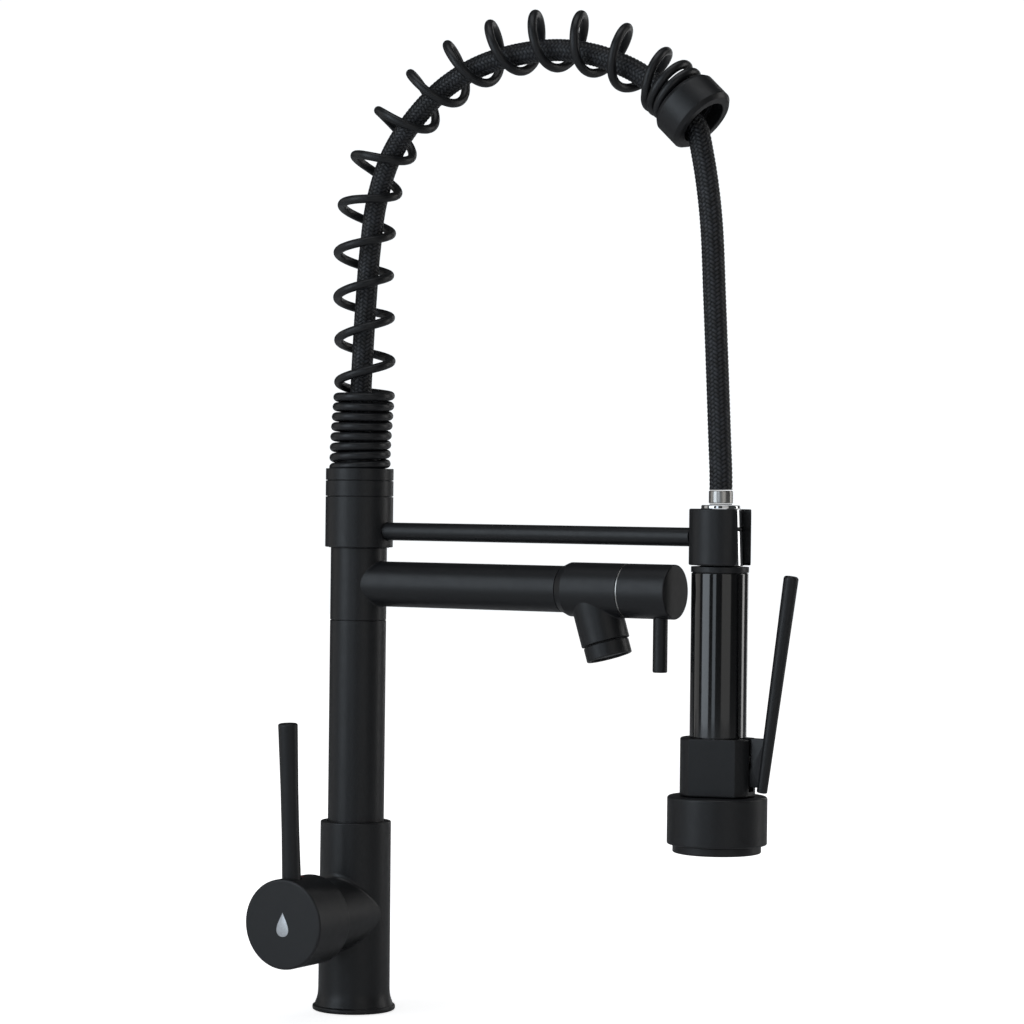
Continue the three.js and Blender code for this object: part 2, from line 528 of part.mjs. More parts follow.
function buildSpray() {
  piece(sprayFrame, 'spray_top_ring', ring(7.2, 15.5, grip.top + GAP, 257.4), 'satinBlack');
  const shell = [
    [grip.innerR, grip.foot], [grip.r, grip.foot], [grip.r, grip.top], [9.4, grip.top], [9.4, grip.top - 3],
    [grip.innerR, grip.top - 3], [grip.innerR, grip.foot],
  ];
  piece(sprayFrame, 'spray_grip', turned(shell), 'glossBlack');
  piece(sprayFrame, 'spray_core', ring(7, 9, 163.8, grip.top - 0.3, 24), 'acetal');

  const reach = 30;
  const flats = [-1, 1].map((side) => {
    const slice = boxAt(block.flatDistance, reach, -reach, reach, block.foot - 1, block.top + 1);
    return moved(slice, { turnZ: side * block.flatAngle });
  });
  const centreBore = disc(6, block.foot - 1, block.top, 20);
  const topBore = disc(9.3, 163.5, block.top + 1, 24);
  const leverSlot = boxAt(13.5, 22, -3, 3, 138, block.top + 1);
  const plungerBore = moved(disc(2.5, 4, 15, 14), { turnY: 90, z: plungerZ });
  const pinHole = moved(disc(1.4, -20, 20, 12), { turnX: 90, x: leverPivot.x - spray.x, z: leverPivot.z });
  const blank = puck(block.r, block.foot, block.top, 0.8);
  const tools = [...flats, centreBore, topBore, leverSlot, plungerBore, pinHole];
  piece(sprayFrame, 'spray_block', cut(blank, ...tools), 'satinBlack');
  const pinFrame = frameAt({ x: leverPivot.x, z: leverPivot.z, out: true });
  piece(pinFrame, 'lever_pin', disc(1.1, -8.5, 8.5, 12), 'steel');

  const { r, round, innerR, holeR } = skirt;
  const roof = skirt.top - 6;
  const cover = [
    [holeR, roof], [holeR, skirt.top], ...arc(r - round, skirt.top - round, round, 90, 0, 4),
    [r, skirt.foot + 0.8], [r - 0.8, skirt.foot], [innerR, skirt.foot], [innerR, roof], [holeR, roof],
  ];
  piece(sprayFrame, 'spray_skirt', turned(cover), 'satinBlack');
  const { holeR: padR, spigotR, spigotTop } = plate;
  const face = [
    [padR, plate.foot + 0.6], [plate.r - 1.2, plate.foot], [plate.r, plate.foot + 1], [plate.r, plate.top],
    [spigotR, plate.top], [spigotR, spigotTop], [padR, spigotTop], [padR, plate.foot + 0.6],
  ];
  piece(sprayFrame, 'face_plate', turned(face), 'satinBlack');
  piece(sprayFrame, 'nozzle_insert', disc(8.7, plate.foot + 1, plate.top + 6, 24), 'rubber');
}

function buildLever() {
  const { footR, topR, length, tipRound } = lever;
  const tip = arc(topR - tipRound, length - tipRound, tipRound, 35, 90, 2);
  const rodShape = [[0, 0], [footR - 0.5, 0], [footR, 0.6], [topR, length - tipRound], ...tip, [0, length]];
  const bar = moved(turned(rodShape, 16), { turnY: lever.lean, x: lever.x, z: lever.z });
  const fin = slab(finOutline, lever.finWidth);
  const pinHole = moved(disc(1.4, -8, 8, 12), { turnX: 90, x: leverPivot.x, z: leverPivot.z });
  piece(upright, 'spray_lever', cut(join(bar, fin), pinHole), 'satinBlack');
  const plungerFrame = frameAt({ z: plungerZ, lean: 90 });
  piece(plungerFrame, 'valve_plunger', disc(2.2, 239.2, 250, 14), 'steel');
}

buildBase();
buildColumn();
buildMixer();
buildHandle();
buildSpout();
buildKnob();
buildArm();
buildSpringAndHose();
buildNeck();
buildSpray();
buildLever();

export default faucet;
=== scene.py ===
"""Looks of a pull-down kitchen faucet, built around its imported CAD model.

Sizes are millimetres and become metres when a mesh is made. +Z is up, the column stands on the
origin, the spout and the holder arm point along +X and the mixer handle points along -Y. Shapes
are surfaces on a grid of two parameters: a profile turned about an axis, or a section carried
along a path. Every outer piece replaces its CAD node, and the inner works keep theirs.
"""

import logging
import math
from dataclasses import dataclass
from enum import Enum
from typing import Callable, Sequence

import bpy
import numpy as np
from mathutils import Matrix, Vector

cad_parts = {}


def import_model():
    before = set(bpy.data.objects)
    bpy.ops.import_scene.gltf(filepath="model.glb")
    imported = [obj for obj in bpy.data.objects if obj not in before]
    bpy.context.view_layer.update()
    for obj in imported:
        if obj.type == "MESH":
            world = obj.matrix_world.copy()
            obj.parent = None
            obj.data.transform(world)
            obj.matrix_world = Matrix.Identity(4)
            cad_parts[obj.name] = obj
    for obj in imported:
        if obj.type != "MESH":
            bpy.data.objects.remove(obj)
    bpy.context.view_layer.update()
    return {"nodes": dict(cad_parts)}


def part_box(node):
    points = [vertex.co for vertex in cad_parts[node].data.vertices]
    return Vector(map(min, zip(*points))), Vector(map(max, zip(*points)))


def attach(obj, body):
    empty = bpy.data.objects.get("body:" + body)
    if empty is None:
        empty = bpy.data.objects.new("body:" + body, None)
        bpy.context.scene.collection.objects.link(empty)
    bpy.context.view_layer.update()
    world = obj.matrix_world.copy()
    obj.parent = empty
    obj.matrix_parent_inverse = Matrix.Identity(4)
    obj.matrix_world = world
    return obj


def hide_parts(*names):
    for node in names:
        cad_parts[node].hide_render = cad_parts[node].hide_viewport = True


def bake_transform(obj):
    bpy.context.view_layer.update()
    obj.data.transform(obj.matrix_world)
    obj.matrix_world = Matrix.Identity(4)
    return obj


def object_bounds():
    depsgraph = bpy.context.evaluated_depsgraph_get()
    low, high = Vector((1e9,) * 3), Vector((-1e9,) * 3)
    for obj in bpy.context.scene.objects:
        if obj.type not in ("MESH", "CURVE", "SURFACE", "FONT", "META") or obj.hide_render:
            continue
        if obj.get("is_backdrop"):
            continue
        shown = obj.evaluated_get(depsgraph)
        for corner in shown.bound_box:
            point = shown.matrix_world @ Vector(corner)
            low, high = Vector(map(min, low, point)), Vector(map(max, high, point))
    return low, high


LOG = logging.getLogger("faucet")
MM = 0.001  # a millimetre in metres
GAP = 0.3  # clearance of the column's foot in its socket
SPIGOT = 0.28  # reach of the hidden step below a ring, which leaves the joint a thin dark line
SHOULDER = 0.9  # how far that step stands back from the ring's face
SHARP = 38.0  # edges that turn more than this many degrees stay crisp
ROUND = 112  # steps around a large piece
SMALL = 56  # steps around a small piece
FINE = 32  # steps around a pin

Socket = bpy.types.NodeSocket


class Slot(Enum):
    """The record's material slots."""

    SATIN = "satin_black"
    GLOSS = "gloss_black"
    SPRING = "spring_black"
    BRAID = "braid"
    CHROME = "chrome"
    STEEL = "steel"
    BRASS = "brass"
    RUBBER = "rubber"
    CERAMIC = "ceramic"
    ACETAL = "acetal"
    GREY = "grey_plastic"
    INDICATOR = "indicator"


# ------------------------------------------------------------------------------- surfaces


@dataclass(frozen=True)
class Place:
    """Where a piece's own axes lie: its origin and the directions of its X and Z axes.

    Attributes:
        origin: The piece's origin in the frame, in millimetres.
        along: Direction of the piece's Z axis.
        aside: Direction of the piece's X axis, square to along.
    """

    origin: tuple[float, float, float] = (0.0, 0.0, 0.0)
    along: tuple[float, float, float] = (0.0, 0.0, 1.0)
    aside: tuple[float, float, float] = (1.0, 0.0, 0.0)

    def axes(self) -> np.ndarray:
        """The X, Y and Z directions as the rows of a matrix."""
        z = np.array(self.along) / np.linalg.norm(self.along)
        x = np.array(self.aside) - z * np.dot(self.aside, z)
        x /= np.linalg.norm(x)
        return np.stack([x, np.cross(z, x), z])

    def apply(self, points: np.ndarray) -> np.ndarray:
        """Own coordinates turned into frame coordinates: origin + x·X + y·Y + z·Z."""
        return points @ self.axes() + np.array(self.origin)


@dataclass
class Shell:
    """A closed surface.

    Attributes:
        points: Rows of x, y, z in millimetres.
        faces: Rows of four point numbers; a triangle's fourth is -1.
    """

    points: np.ndarray
    faces: np.ndarray

    def placed(self, place: Place) -> "Shell":
        """This shell in another place."""
        return Shell(place.apply(self.points), self.faces)

    def joined(self, *others: "Shell") -> "Shell":
        """One shell holding this one and the others, each still closed by itself."""
        points, faces = self.points, self.faces
        for other in others:
            moved = np.where(other.faces < 0, -1, other.faces + len(points))
            points = np.concatenate([points, other.points])
            faces = np.concatenate([faces, moved])
        return Shell(points, faces)

    def outward(self) -> "Shell":
        """The same surface with its faces pointing out: turned over where its volume is below 0."""
        quads = self.faces[self.faces[:, 3] >= 0]
        fans = [self.faces[:, :3], quads[:, [0, 2, 3]]]
        a, b, c = (self.points[np.concatenate(fans)[:, k]] for k in range(3))
        if np.einsum("ij,ij->i", a, np.cross(b, c)).sum() >= 0:
            return self
        flipped = self.faces[:, [0, 3, 2, 1]]
        triangles = self.faces[:, 3] < 0
        flipped[triangles] = self.faces[triangles][:, [0, 2, 1, 3]]
        return Shell(self.points, flipped)

    def mesh(self, name: str, sharp: float = SHARP) -> bpy.types.Mesh:
        """A Blender mesh of this surface in metres.

        Args:
            name: Name of the mesh.
            sharp: Edges that turn more than this many degrees stay crisp.

        Returns:
            The smooth-shaded mesh.
        """
        shell = self.outward()
        totals = np.where(shell.faces[:, 3] < 0, 3, 4)
        starts = np.concatenate([[0], np.cumsum(totals)[:-1]])
        corners = shell.faces[shell.faces >= 0]
        mesh = bpy.data.meshes.new(name)
        mesh.vertices.add(len(shell.points))
        mesh.vertices.foreach_set("co", (shell.points * MM).astype(np.float32).ravel())
        mesh.loops.add(len(corners))
        mesh.loops.foreach_set("vertex_index", corners.astype(np.int32))
        mesh.polygons.add(len(shell.faces))
        mesh.polygons.foreach_set("loop_start", starts.astype(np.int32))
        mesh.update(calc_edges=True)
        mesh.shade_smooth()
        mesh.set_sharp_from_angle(angle=math.radians(sharp))
        return mesh


def grid(points: np.ndarray, wrap_rows: bool = False, wrap_columns: bool = True) -> Shell:
    """The surface through a grid of points: face (i, j) joins point (i, j) to its next neighbours.

    Args:
        points: Array of rows by columns by three.
        wrap_rows: Whether the last row joins the first.
        wrap_columns: Whether the last column joins the first.

    Returns:
        The shell, open at the sides that don't wrap.
    """
    rows, columns = points.shape[:2]
    i = np.arange(rows if wrap_rows else rows - 1)[:, None]
    j = np.arange(columns if wrap_columns else columns - 1)[None, :]
    below, right = (i + 1) % rows, (j + 1) % columns
    corners = (i * columns + j, i * columns + right, below * columns + right, below * columns + j)
    faces = np.stack([np.broadcast_to(c, (i.size, j.size)).ravel() for c in corners], -1)
    return Shell(points.reshape(-1, 3), faces)


def capped(points: np.ndarray, first: np.ndarray | None = None, last: np.ndarray | None = None) -> Shell:
    """A tube through rows of points, closed at each end by a fan about a middle point.

    Args:
        points: Array of rows by columns by three, wrapped along its columns.
        first: Middle point before the first row; the row's mean if not given.
        last: Middle point after the last row; the row's mean if not given.

    Returns:
        The closed shell.
    """
    tube = grid(points)
    rows, columns = points.shape[:2]
    middles = [points[0].mean(0) if first is None else first, points[-1].mean(0) if last is None else last]
    k = np.arange(columns)
    ahead = (k + 1) % columns
    start, end = rows * columns, rows * columns + 1
    none = np.full(columns, -1)
    foot = np.stack([np.full(columns, start), ahead, k, none], -1)
    shift = (rows - 1) * columns
    head = np.stack([np.full(columns, end), k + shift, ahead + shift, none], -1)
    return Shell(np.concatenate([tube.points, np.array(middles)]), np.concatenate([tube.faces, foot, head]))


def rounded(corners: Sequence[Sequence[float]], steps: int = 6, lead: float = 0.25) -> np.ndarray:
    """An outline whose corners are arcs: each arc is tangent to both sides of its corner.

    The arc's centre lies on the corner's bisector at radius / sin(half the corner's angle), and a
    short straight lead on each side keeps the flat faces beside it flat in shading.

    Args:
        corners: Rows of two coordinates and a fillet radius, 0 for a plain corner. The first and
            last are ends and stay as they are.
        steps: Arc steps at each rounded corner.
        lead: Length of the straight leads.

    Returns:
        Rows of two coordinates.
    """
    flat = np.array([c[:2] for c in corners], float)
    out = [flat[0]]
    for k in range(1, len(corners) - 1):
        radius = corners[k][2] if len(corners[k]) > 2 else 0.0
        before, after = flat[k - 1] - flat[k], flat[k + 1] - flat[k]
        reach = min(np.linalg.norm(before), np.linalg.norm(after)) * 0.49
        before, after = before / np.linalg.norm(before), after / np.linalg.norm(after)
        half = math.acos(float(np.clip(before @ after, -1, 1))) / 2
        if radius <= 0 or half > math.radians(89.5):
            out.append(flat[k])
            continue
        length = min(radius / math.tan(half), reach)
        radius = length * math.tan(half)
        bisector = (before + after) / np.linalg.norm(before + after)
        centre = flat[k] + bisector * radius / math.sin(half)
        start, end = flat[k] + before * length, flat[k] + after * length
        sweep = math.pi - 2 * half
        share = np.linspace(0, 1, steps + 1)[:, None]
        turn = np.sin(sweep * (1 - share)) * (start - centre) + np.sin(sweep * share) * (end - centre)
        extra = min(lead, reach - length)
        if extra > 0.02:
            out.append(start + before * extra)
        out.extend(centre + turn / math.sin(sweep))
        if extra > 0.02:
            out.append(end + after * extra)
    out.append(flat[-1])
    return np.array(out)


def ringed(corners: Sequence[Sequence[float]], steps: int = 6) -> np.ndarray:
    """A rounded outline that closes on itself; the seam lies halfway along the first side."""
    middle = [(corners[0][0] + corners[1][0]) / 2, (corners[0][1] + corners[1][1]) / 2, 0]
    loop = rounded([middle, *corners[1:], corners[0], middle], steps)
    return loop[:-1]


def evened(outline: np.ndarray, longest: float) -> np.ndarray:
    """An outline with its long sides cut into equal steps no longer than a given length."""
    out = [outline[:1]]
    for a, b in zip(outline[:-1], outline[1:]):
        count = max(1, math.ceil(np.linalg.norm(b - a) / longest))
        out.append(a + (b - a) * np.linspace(0, 1, count + 1)[1:, None])
    return np.concatenate(out)


def circle(sides: int) -> np.ndarray:
    """Unit circle: rows of cosine and sine of equally spaced angles."""
    angle = 2 * np.pi * np.arange(sides) / sides
    return np.stack([np.cos(angle), np.sin(angle)], -1)


def turned(profile: np.ndarray, sides: int = ROUND, place: Place = Place()) -> Shell:
    """A solid of revolution: point (k, j) is (r·cos a, r·sin a, z) of profile point k at angle j.

    Args:
        profile: Rows of radius and height. It starts and ends on the axis, or closes on itself.
        sides: Steps around.
        place: Where its axis lies.

    Returns:
        The closed shell in the frame.
    """
    around = circle(sides)
    height = np.broadcast_to(profile[:, None, 1:], (len(profile), sides, 1))
    rows = np.concatenate([profile[:, None, :1] * around[None], height], -1)
    solid = profile[0, 0] < 1e-9 and profile[-1, 0] < 1e-9
    shell = capped(rows[1:-1], rows[0, 0], rows[-1, 0]) if solid else grid(rows, wrap_rows=True)
    return shell.placed(place)


def tube_ring(inner: float, outer: float, foot: float, top: float, edge: float = 0.3) -> np.ndarray:
    """Closed profile of a ring between two radii and two heights, its edges rounded."""
    return ringed([[outer, foot, edge], [outer, top, edge], [inner, top, edge / 2], [inner, foot, edge / 2]])


def spigot(inner: float, outer: float, foot: float, shoulder: float = SHOULDER) -> list[list[float]]:
    """Last corners of a ring's profile: a hidden step below its foot, a shoulder back from its face."""
    low, waist = foot - SPIGOT, outer - shoulder
    return [[inner, low], [waist, low], [waist, foot]]


def stepped(inner: float, outer: float, foot: float, top: float, edge: float = 0.35) -> np.ndarray:
    """Like tube_ring, with a hidden spigot below its foot."""
    face = [[outer, foot, edge], [outer, top, edge], [inner, top, edge / 2]]
    return ringed([*face, *spigot(inner, outer, foot)])


def pin(radius: float, foot: float, top: float, edge: float = 0.3) -> np.ndarray:
    """Profile of a solid round bar with rounded ends."""
    return rounded([[0, foot], [radius, foot, edge], [radius, top, edge], [0, top]])


@dataclass(frozen=True)
class Branch:
    """A tube that leaves a larger round body square or slanted, with a soft fillet between them.

    A ball of the fillet's radius rolls in the corner. Its centre lies at radius + fillet from the
    tube's axis and at body + fillet from the body's axis; it touches the tube and the body one
    fillet radius from that centre, and the surface is the arc between the two touching points.

    Attributes:
        origin: Point where both axes meet.
        along: Direction of the tube.
        body_axis: Direction of the body's axis.
        body: Radius of the body.
        radius: Outer radius of the tube.
        bore: Inner radius of the tube.
        fillet: Radius of the soft corner.
        end: Distance of the tube's end from the body's axis.
        edge: Rounding of the tube's end.
        sink: How far the fillet's foot dips under the body's surface.
    """

    origin: tuple[float, float, float]
    along: tuple[float, float, float]
    body_axis: tuple[float, float, float]
    body: float
    radius: float
    bore: float
    fillet: float
    end: float
    edge: float = 0.4
    sink: float = 0.3

    def shell(self, sides: int = ROUND, steps: int = 8) -> Shell:
        """The closed tube with its fillet.

        Args:
            sides: Steps around the tube.
            steps: Steps of the fillet's arc.

        Returns:
            The shell in the frame.
        """
        origin = np.array(self.origin)
        main = np.array(self.body_axis) / np.linalg.norm(self.body_axis)
        along = np.array(self.along) / np.linalg.norm(self.along)
        place = Place(self.origin, self.along, tuple(np.cross(main, along)))
        radial = np.concatenate([circle(sides), np.zeros((sides, 1))], -1) @ place.axes()

        def square(v: np.ndarray) -> np.ndarray:
            """The part of a vector square to the body's axis."""
            return v - (v @ main)[..., None] * main

        reach = self.radius + self.fillet
        a, b = square(reach * radial), square(along)
        ab, bb = a @ b, b @ b
        away = (-ab + np.sqrt(ab**2 - bb * ((a**2).sum(-1) - (self.body + self.fillet) ** 2))) / bb
        centre = origin + reach * radial + away[:, None] * along
        out = square(centre - origin)
        out /= np.linalg.norm(out, axis=-1)[:, None]
        sweep = np.arccos(np.clip((out * radial).sum(-1), -1, 1))[:, None]
        rows = []
        for share in np.linspace(0, 1, steps + 1):
            turn = np.sin(sweep * (1 - share)) * -out + np.sin(sweep * share) * -radial
            rows.append(centre + self.fillet * turn / np.sin(sweep))
        sunk = rows[0] - self.sink * out
        depth = ((sunk - origin) @ along)[:, None]
        inner = origin + self.bore * radial + depth * along
        before = self.end - 6
        finish = rounded([
            [self.radius, before], [self.radius, self.end, self.edge],
            [self.bore, self.end, self.edge / 2], [self.bore, before],
        ])
        rim = [origin + r * radial + t * along for r, t in finish]
        return grid(np.stack([inner, sunk, *rows, *rim]), wrap_rows=True)


@dataclass(frozen=True)
class Route:
    """A centreline in the XZ plane: a centripetal Catmull-Rom curve through listed points."""

    knots: tuple[tuple[float, float], ...]

    def sampled(self, per_span: int = 200) -> np.ndarray:
        """Points close together along the curve.

        Each span is a cubic from knot 1 to knot 2 whose end slopes come from the knots on both
        sides, timed by the square root of their distances.

        Args:
            per_span: Points in each span.

        Returns:
            Rows of x and z in millimetres.
        """
        knots = np.array(self.knots, float)
        p = np.concatenate([[2 * knots[0] - knots[1]], knots, [2 * knots[-1] - knots[-2]]])
        p0, p1, p2, p3 = p[:-3, None], p[1:-2, None], p[2:-1, None], p[3:, None]
        pairs = ((p0, p1), (p1, p2), (p2, p3))
        t0, t1, t2 = (np.sqrt(np.linalg.norm(b - a, axis=-1))[..., None] for a, b in pairs)
        s1 = ((p1 - p0) / t0 - (p2 - p0) / (t0 + t1) + (p2 - p1) / t1) * t1
        s2 = ((p2 - p1) / t1 - (p3 - p1) / (t1 + t2) + (p3 - p2) / t2) * t1
        t = np.linspace(0, 1, per_span, endpoint=False)[None, :, None]
        leaving = (2 * t**3 - 3 * t**2 + 1) * p1 + (t**3 - 2 * t**2 + t) * s1
        cubic = leaving + (3 * t**2 - 2 * t**3) * p2 + (t**3 - t**2) * s2
        return np.concatenate([cubic.reshape(-1, 2), knots[-1:]])

    def lengths(self) -> np.ndarray:
        """Distance along the curve of each sampled point."""
        points = self.sampled()
        steps = np.linalg.norm(np.diff(points, axis=0), axis=-1)
        return np.concatenate([[0], np.cumsum(steps)])

    def span(self) -> float:
        """Whole length in millimetres."""
        return float(self.lengths()[-1])

    def at(self, distance: np.ndarray) -> tuple[np.ndarray, np.ndarray, np.ndarray]:
        """Frames along the curve.

        Args:
            distance: Distances along the curve, in millimetres.

        Returns:
            Places, directions and in-plane normals, each as rows of three.
        """
        points, lengths = self.sampled(), self.lengths()
        x, z = (np.interp(distance, lengths, points[:, k]) for k in (0, 1))
        slopes = np.gradient(points, lengths, axis=0)
        tx, tz = (np.interp(distance, lengths, slopes[:, k]) for k in (0, 1))
        size = np.hypot(tx, tz)
        zero = np.zeros_like(x)
        place = np.stack([x, zero, z], -1)
        direction = np.stack([tx / size, zero, tz / size], -1)
        normal = np.stack([-tz / size, zero, tx / size], -1)
        return place, direction, normal


def hosed(route: Route, radius: np.ndarray, distance: np.ndarray) -> Shell:
    """A tube along a route: point (k, j) is centre k + radius·(cos a·normal - sin a·Y).

    Args:
        route: The centreline.
        radius: Radii as rows along by columns around.
        distance: Distance along the route of each row.

    Returns:
        The closed shell.
    """
    place, _, normal = route.at(distance)
    around = circle(radius.shape[1])
    side = around[None, :, :1] * normal[:, None] - around[None, :, 1:] * np.array([0.0, 1.0, 0.0])
    return capped(place[:, None] + radius[..., None] * side, place[0], place[-1])


def carved(shell: Shell, cutters: Sequence[Shell], name: str) -> bpy.types.Mesh:
    """A shell with other shells cut out of it.

    Args:
        shell: The closed body.
        cutters: Closed shells to take away.
        name: Name of the mesh.

    Returns:
        The cut mesh, smooth with crisp edges.
    """
    body = bpy.data.objects.new(name, shell.mesh(name))
    tools = [bpy.data.objects.new(f"{name}_tool", c.mesh(f"{name}_tool")) for c in cutters]
    for item in (body, *tools):
        bpy.context.scene.collection.objects.link(item)
    for tool in tools:
        modifier = body.modifiers.new("cut", "BOOLEAN")
        modifier.operation = "DIFFERENCE"
        modifier.solver = "EXACT"
        modifier.object = tool
    graph = bpy.context.evaluated_depsgraph_get()
    mesh = bpy.data.meshes.new_from_object(body.evaluated_get(graph))
    mesh.name = name
    for item in (body, *tools):
        bpy.data.objects.remove(item)
    mesh.materials.clear()
    mesh.shade_smooth()
    mesh.set_sharp_from_angle(angle=math.radians(SHARP))
    return mesh


# ------------------------------------------------------------------------------- finishes


class Nodes:
    """A short way to write a material's nodes."""

    def __init__(self, name: str) -> None:
        """Starts a material that holds one Principled shader."""
        self.material = bpy.data.materials.new(name)
        self.material.use_nodes = True
        self.tree = self.material.node_tree
        self.shader = self.tree.nodes["Principled BSDF"]
        self.coordinates = self.tree.nodes.new("ShaderNodeTexCoord").outputs["Object"]

    def link(self, source: Socket, target: Socket) -> None:
        """Joins an output to an input."""
        self.tree.links.new(source, target)

    def feed(self, name: str, source: Socket) -> None:
        """Joins an output to one of the shader's inputs."""
        self.link(source, self.shader.inputs[name])

    def node(self, kind: str, **values: object) -> bpy.types.Node:
        """A new node with properties or input values set by name.

        Args:
            kind: Blender's name of the node type.
            **values: Properties of the node, or default values of its inputs.

        Returns:
            The node.
        """
        made = self.tree.nodes.new(kind)
        for key, value in values.items():
            if hasattr(made, key):
                setattr(made, key, value)
            else:
                made.inputs[key.replace("_", " ")].default_value = value
        return made

    def stretched(self, scale: tuple[float, float, float]) -> Socket:
        """Object coordinates stretched by a scale along each axis."""
        mapping = self.node("ShaderNodeMapping")
        mapping.inputs["Scale"].default_value = scale
        self.link(self.coordinates, mapping.inputs["Vector"])
        return mapping.outputs["Vector"]

    def noise(self, scale: float, detail: float = 2.0, vector: Socket | None = None) -> Socket:
        """A noise pattern, 0 to 1.

        Args:
            scale: Features per metre.
            detail: Layers of finer noise.
            vector: Where to read it; object coordinates if not given.

        Returns:
            The pattern's output.
        """
        texture = self.node("ShaderNodeTexNoise", Scale=scale, Detail=detail)
        self.link(vector or self.coordinates, texture.inputs["Vector"])
        return texture.outputs["Fac"]

    def spread(self, source: Socket, low: float, high: float) -> Socket:
        """A 0 to 1 pattern mapped to a range; its middle half covers the whole range."""
        ranged = self.node("ShaderNodeMapRange", From_Min=0.3, From_Max=0.7, To_Min=low, To_Max=high)
        self.link(source, ranged.inputs["Value"])
        return ranged.outputs["Result"]

    def mix(self, factor: Socket, first: Sequence[float], second: Sequence[float]) -> Socket:
        """A colour between two colours, by a pattern."""
        ramp = self.node("ShaderNodeValToRGB")
        ramp.color_ramp.elements[0].color = (*first, 1.0)
        ramp.color_ramp.elements[1].color = (*second, 1.0)
        ramp.color_ramp.elements[0].position = 0.3
        ramp.color_ramp.elements[1].position = 0.7
        self.link(factor, ramp.inputs["Fac"])
        return ramp.outputs["Color"]

    def scaled(self, source: Socket, factor: float) -> Socket:
        """A value times a constant."""
        product = self.node("ShaderNodeMath", operation="MULTIPLY")
        product.inputs[1].default_value = factor
        self.link(source, product.inputs[0])
        return product.outputs[0]

    def bump(self, height: Socket, depth: float, strength: float = 1.0) -> None:
        """Adds relief of a depth in metres to the shader's normal, over any relief already there."""
        made = self.node("ShaderNodeBump", Strength=strength, Distance=depth)
        self.link(height, made.inputs["Height"])
        if self.shader.inputs["Normal"].is_linked:
            self.link(self.shader.inputs["Normal"].links[0].from_socket, made.inputs["Normal"])
        self.feed("Normal", made.outputs["Normal"])

    def set(self, **values: object) -> None:
        """Sets the shader's own sockets by name."""
        for key, value in values.items():
            self.shader.inputs[key.replace("_", " ")].default_value = value


@dataclass(frozen=True)
class Finish:
    """A finish with a name, a material slot and two close colours that it varies between.

    Attributes:
        name: A maker's word for it.
        slot: The record's material slot. Not used.
        dark: Linear colour of its darker patches.
        light: Linear colour of its lighter patches.
        rough: Lowest and highest roughness.
    """

    name: str
    slot: Slot
    dark: tuple[float, float, float]
    light: tuple[float, float, float]
    rough: tuple[float, float]

    def material(self) -> bpy.types.Material:
        """The finish's material, made once and shared."""
        found = bpy.data.materials.get(self.name)
        if found:
            return found
        nodes = Nodes(self.name)
        self.shade(nodes)
        return nodes.material

    def shade(self, nodes: Nodes) -> None:
        """Sets up the material: the subclass says how."""
        raise NotImplementedError


@dataclass(frozen=True)
class PowderCoat(Finish):
    """Baked matt paint: a fine even orange peel, with its sheen a little stronger in places.

    Attributes:
        peel: Depth of the orange peel, in metres.
        specular: Strength of the reflection.
    """

    peel: float = 6e-6
    specular: float = 0.5

    def shade(self, nodes: Nodes) -> None:
        """Fine peel of 0.35 mm, a slower wave of 3 mm, and patches of 30 mm in tone and sheen."""
        patches = nodes.noise(32.0, 3.0)
        nodes.feed("Base Color", nodes.mix(patches, self.dark, self.light))
        nodes.feed("Roughness", nodes.spread(nodes.noise(210.0, 4.0), *self.rough))
        nodes.set(Specular_IOR_Level=self.specular, Metallic=0.0)
        nodes.bump(nodes.noise(330.0, 1.0), self.peel * 4, 0.25)
        nodes.bump(nodes.noise(2800.0, 2.0), self.peel, 0.6)


@dataclass(frozen=True)
class MouldedGloss(Finish):
    """Polished moulded plastic under a clear lacquer, with the faint wave of a moulding."""

    def shade(self, nodes: Nodes) -> None:
        """Deep black with a hard clear coat, a slow wave and very fine dust in its roughness."""
        nodes.feed("Base Color", nodes.mix(nodes.noise(40.0, 2.0), self.dark, self.light))
        nodes.feed("Roughness", nodes.spread(nodes.noise(1500.0, 5.0), *self.rough))
        nodes.set(Specular_IOR_Level=0.5, Coat_Weight=1.0, Coat_Roughness=0.03, Coat_IOR=1.5)
        nodes.bump(nodes.noise(90.0, 1.0), 2e-5, 0.3)


@dataclass(frozen=True)
class Metal(Finish):
    """Bare or plated metal, its marks drawn out along one axis.

    Attributes:
        draw: Scale of the marks along X, Y and Z: small along the direction they run in.
        marks: Depth of the marks, in metres.
    """

    draw: tuple[float, float, float] = (1.0, 1.0, 1.0)
    marks: float = 2e-6

    def shade(self, nodes: Nodes) -> None:
        """Metal whose tone, roughness and relief follow long drawn noise."""
        drawn = nodes.stretched(self.draw)
        streaks = nodes.noise(1400.0, 4.0, drawn)
        nodes.feed("Base Color", nodes.mix(streaks, self.dark, self.light))
        nodes.feed("Roughness", nodes.spread(nodes.noise(600.0, 3.0, drawn), *self.rough))
        nodes.set(Metallic=1.0)
        nodes.bump(streaks, self.marks, 0.5)


@dataclass(frozen=True)
class Moulded(Finish):
    """Plain moulded plastic, rubber or fired ceramic with a fine skin.

    Attributes:
        skin: Depth of the skin's grain, in metres.
        soft: Weight of a soft sheen, as on rubber.
    """

    skin: float = 1e-5
    soft: float = 0.0

    def shade(self, nodes: Nodes) -> None:
        """Patches of tone, with a grain of about half a millimetre."""
        nodes.feed("Base Color", nodes.mix(nodes.noise(160.0, 4.0), self.dark, self.light))
        nodes.feed("Roughness", nodes.spread(nodes.noise(900.0, 3.0), *self.rough))
        nodes.set(Sheen_Weight=self.soft)
        nodes.bump(nodes.noise(2200.0, 3.0), self.skin, 0.5)


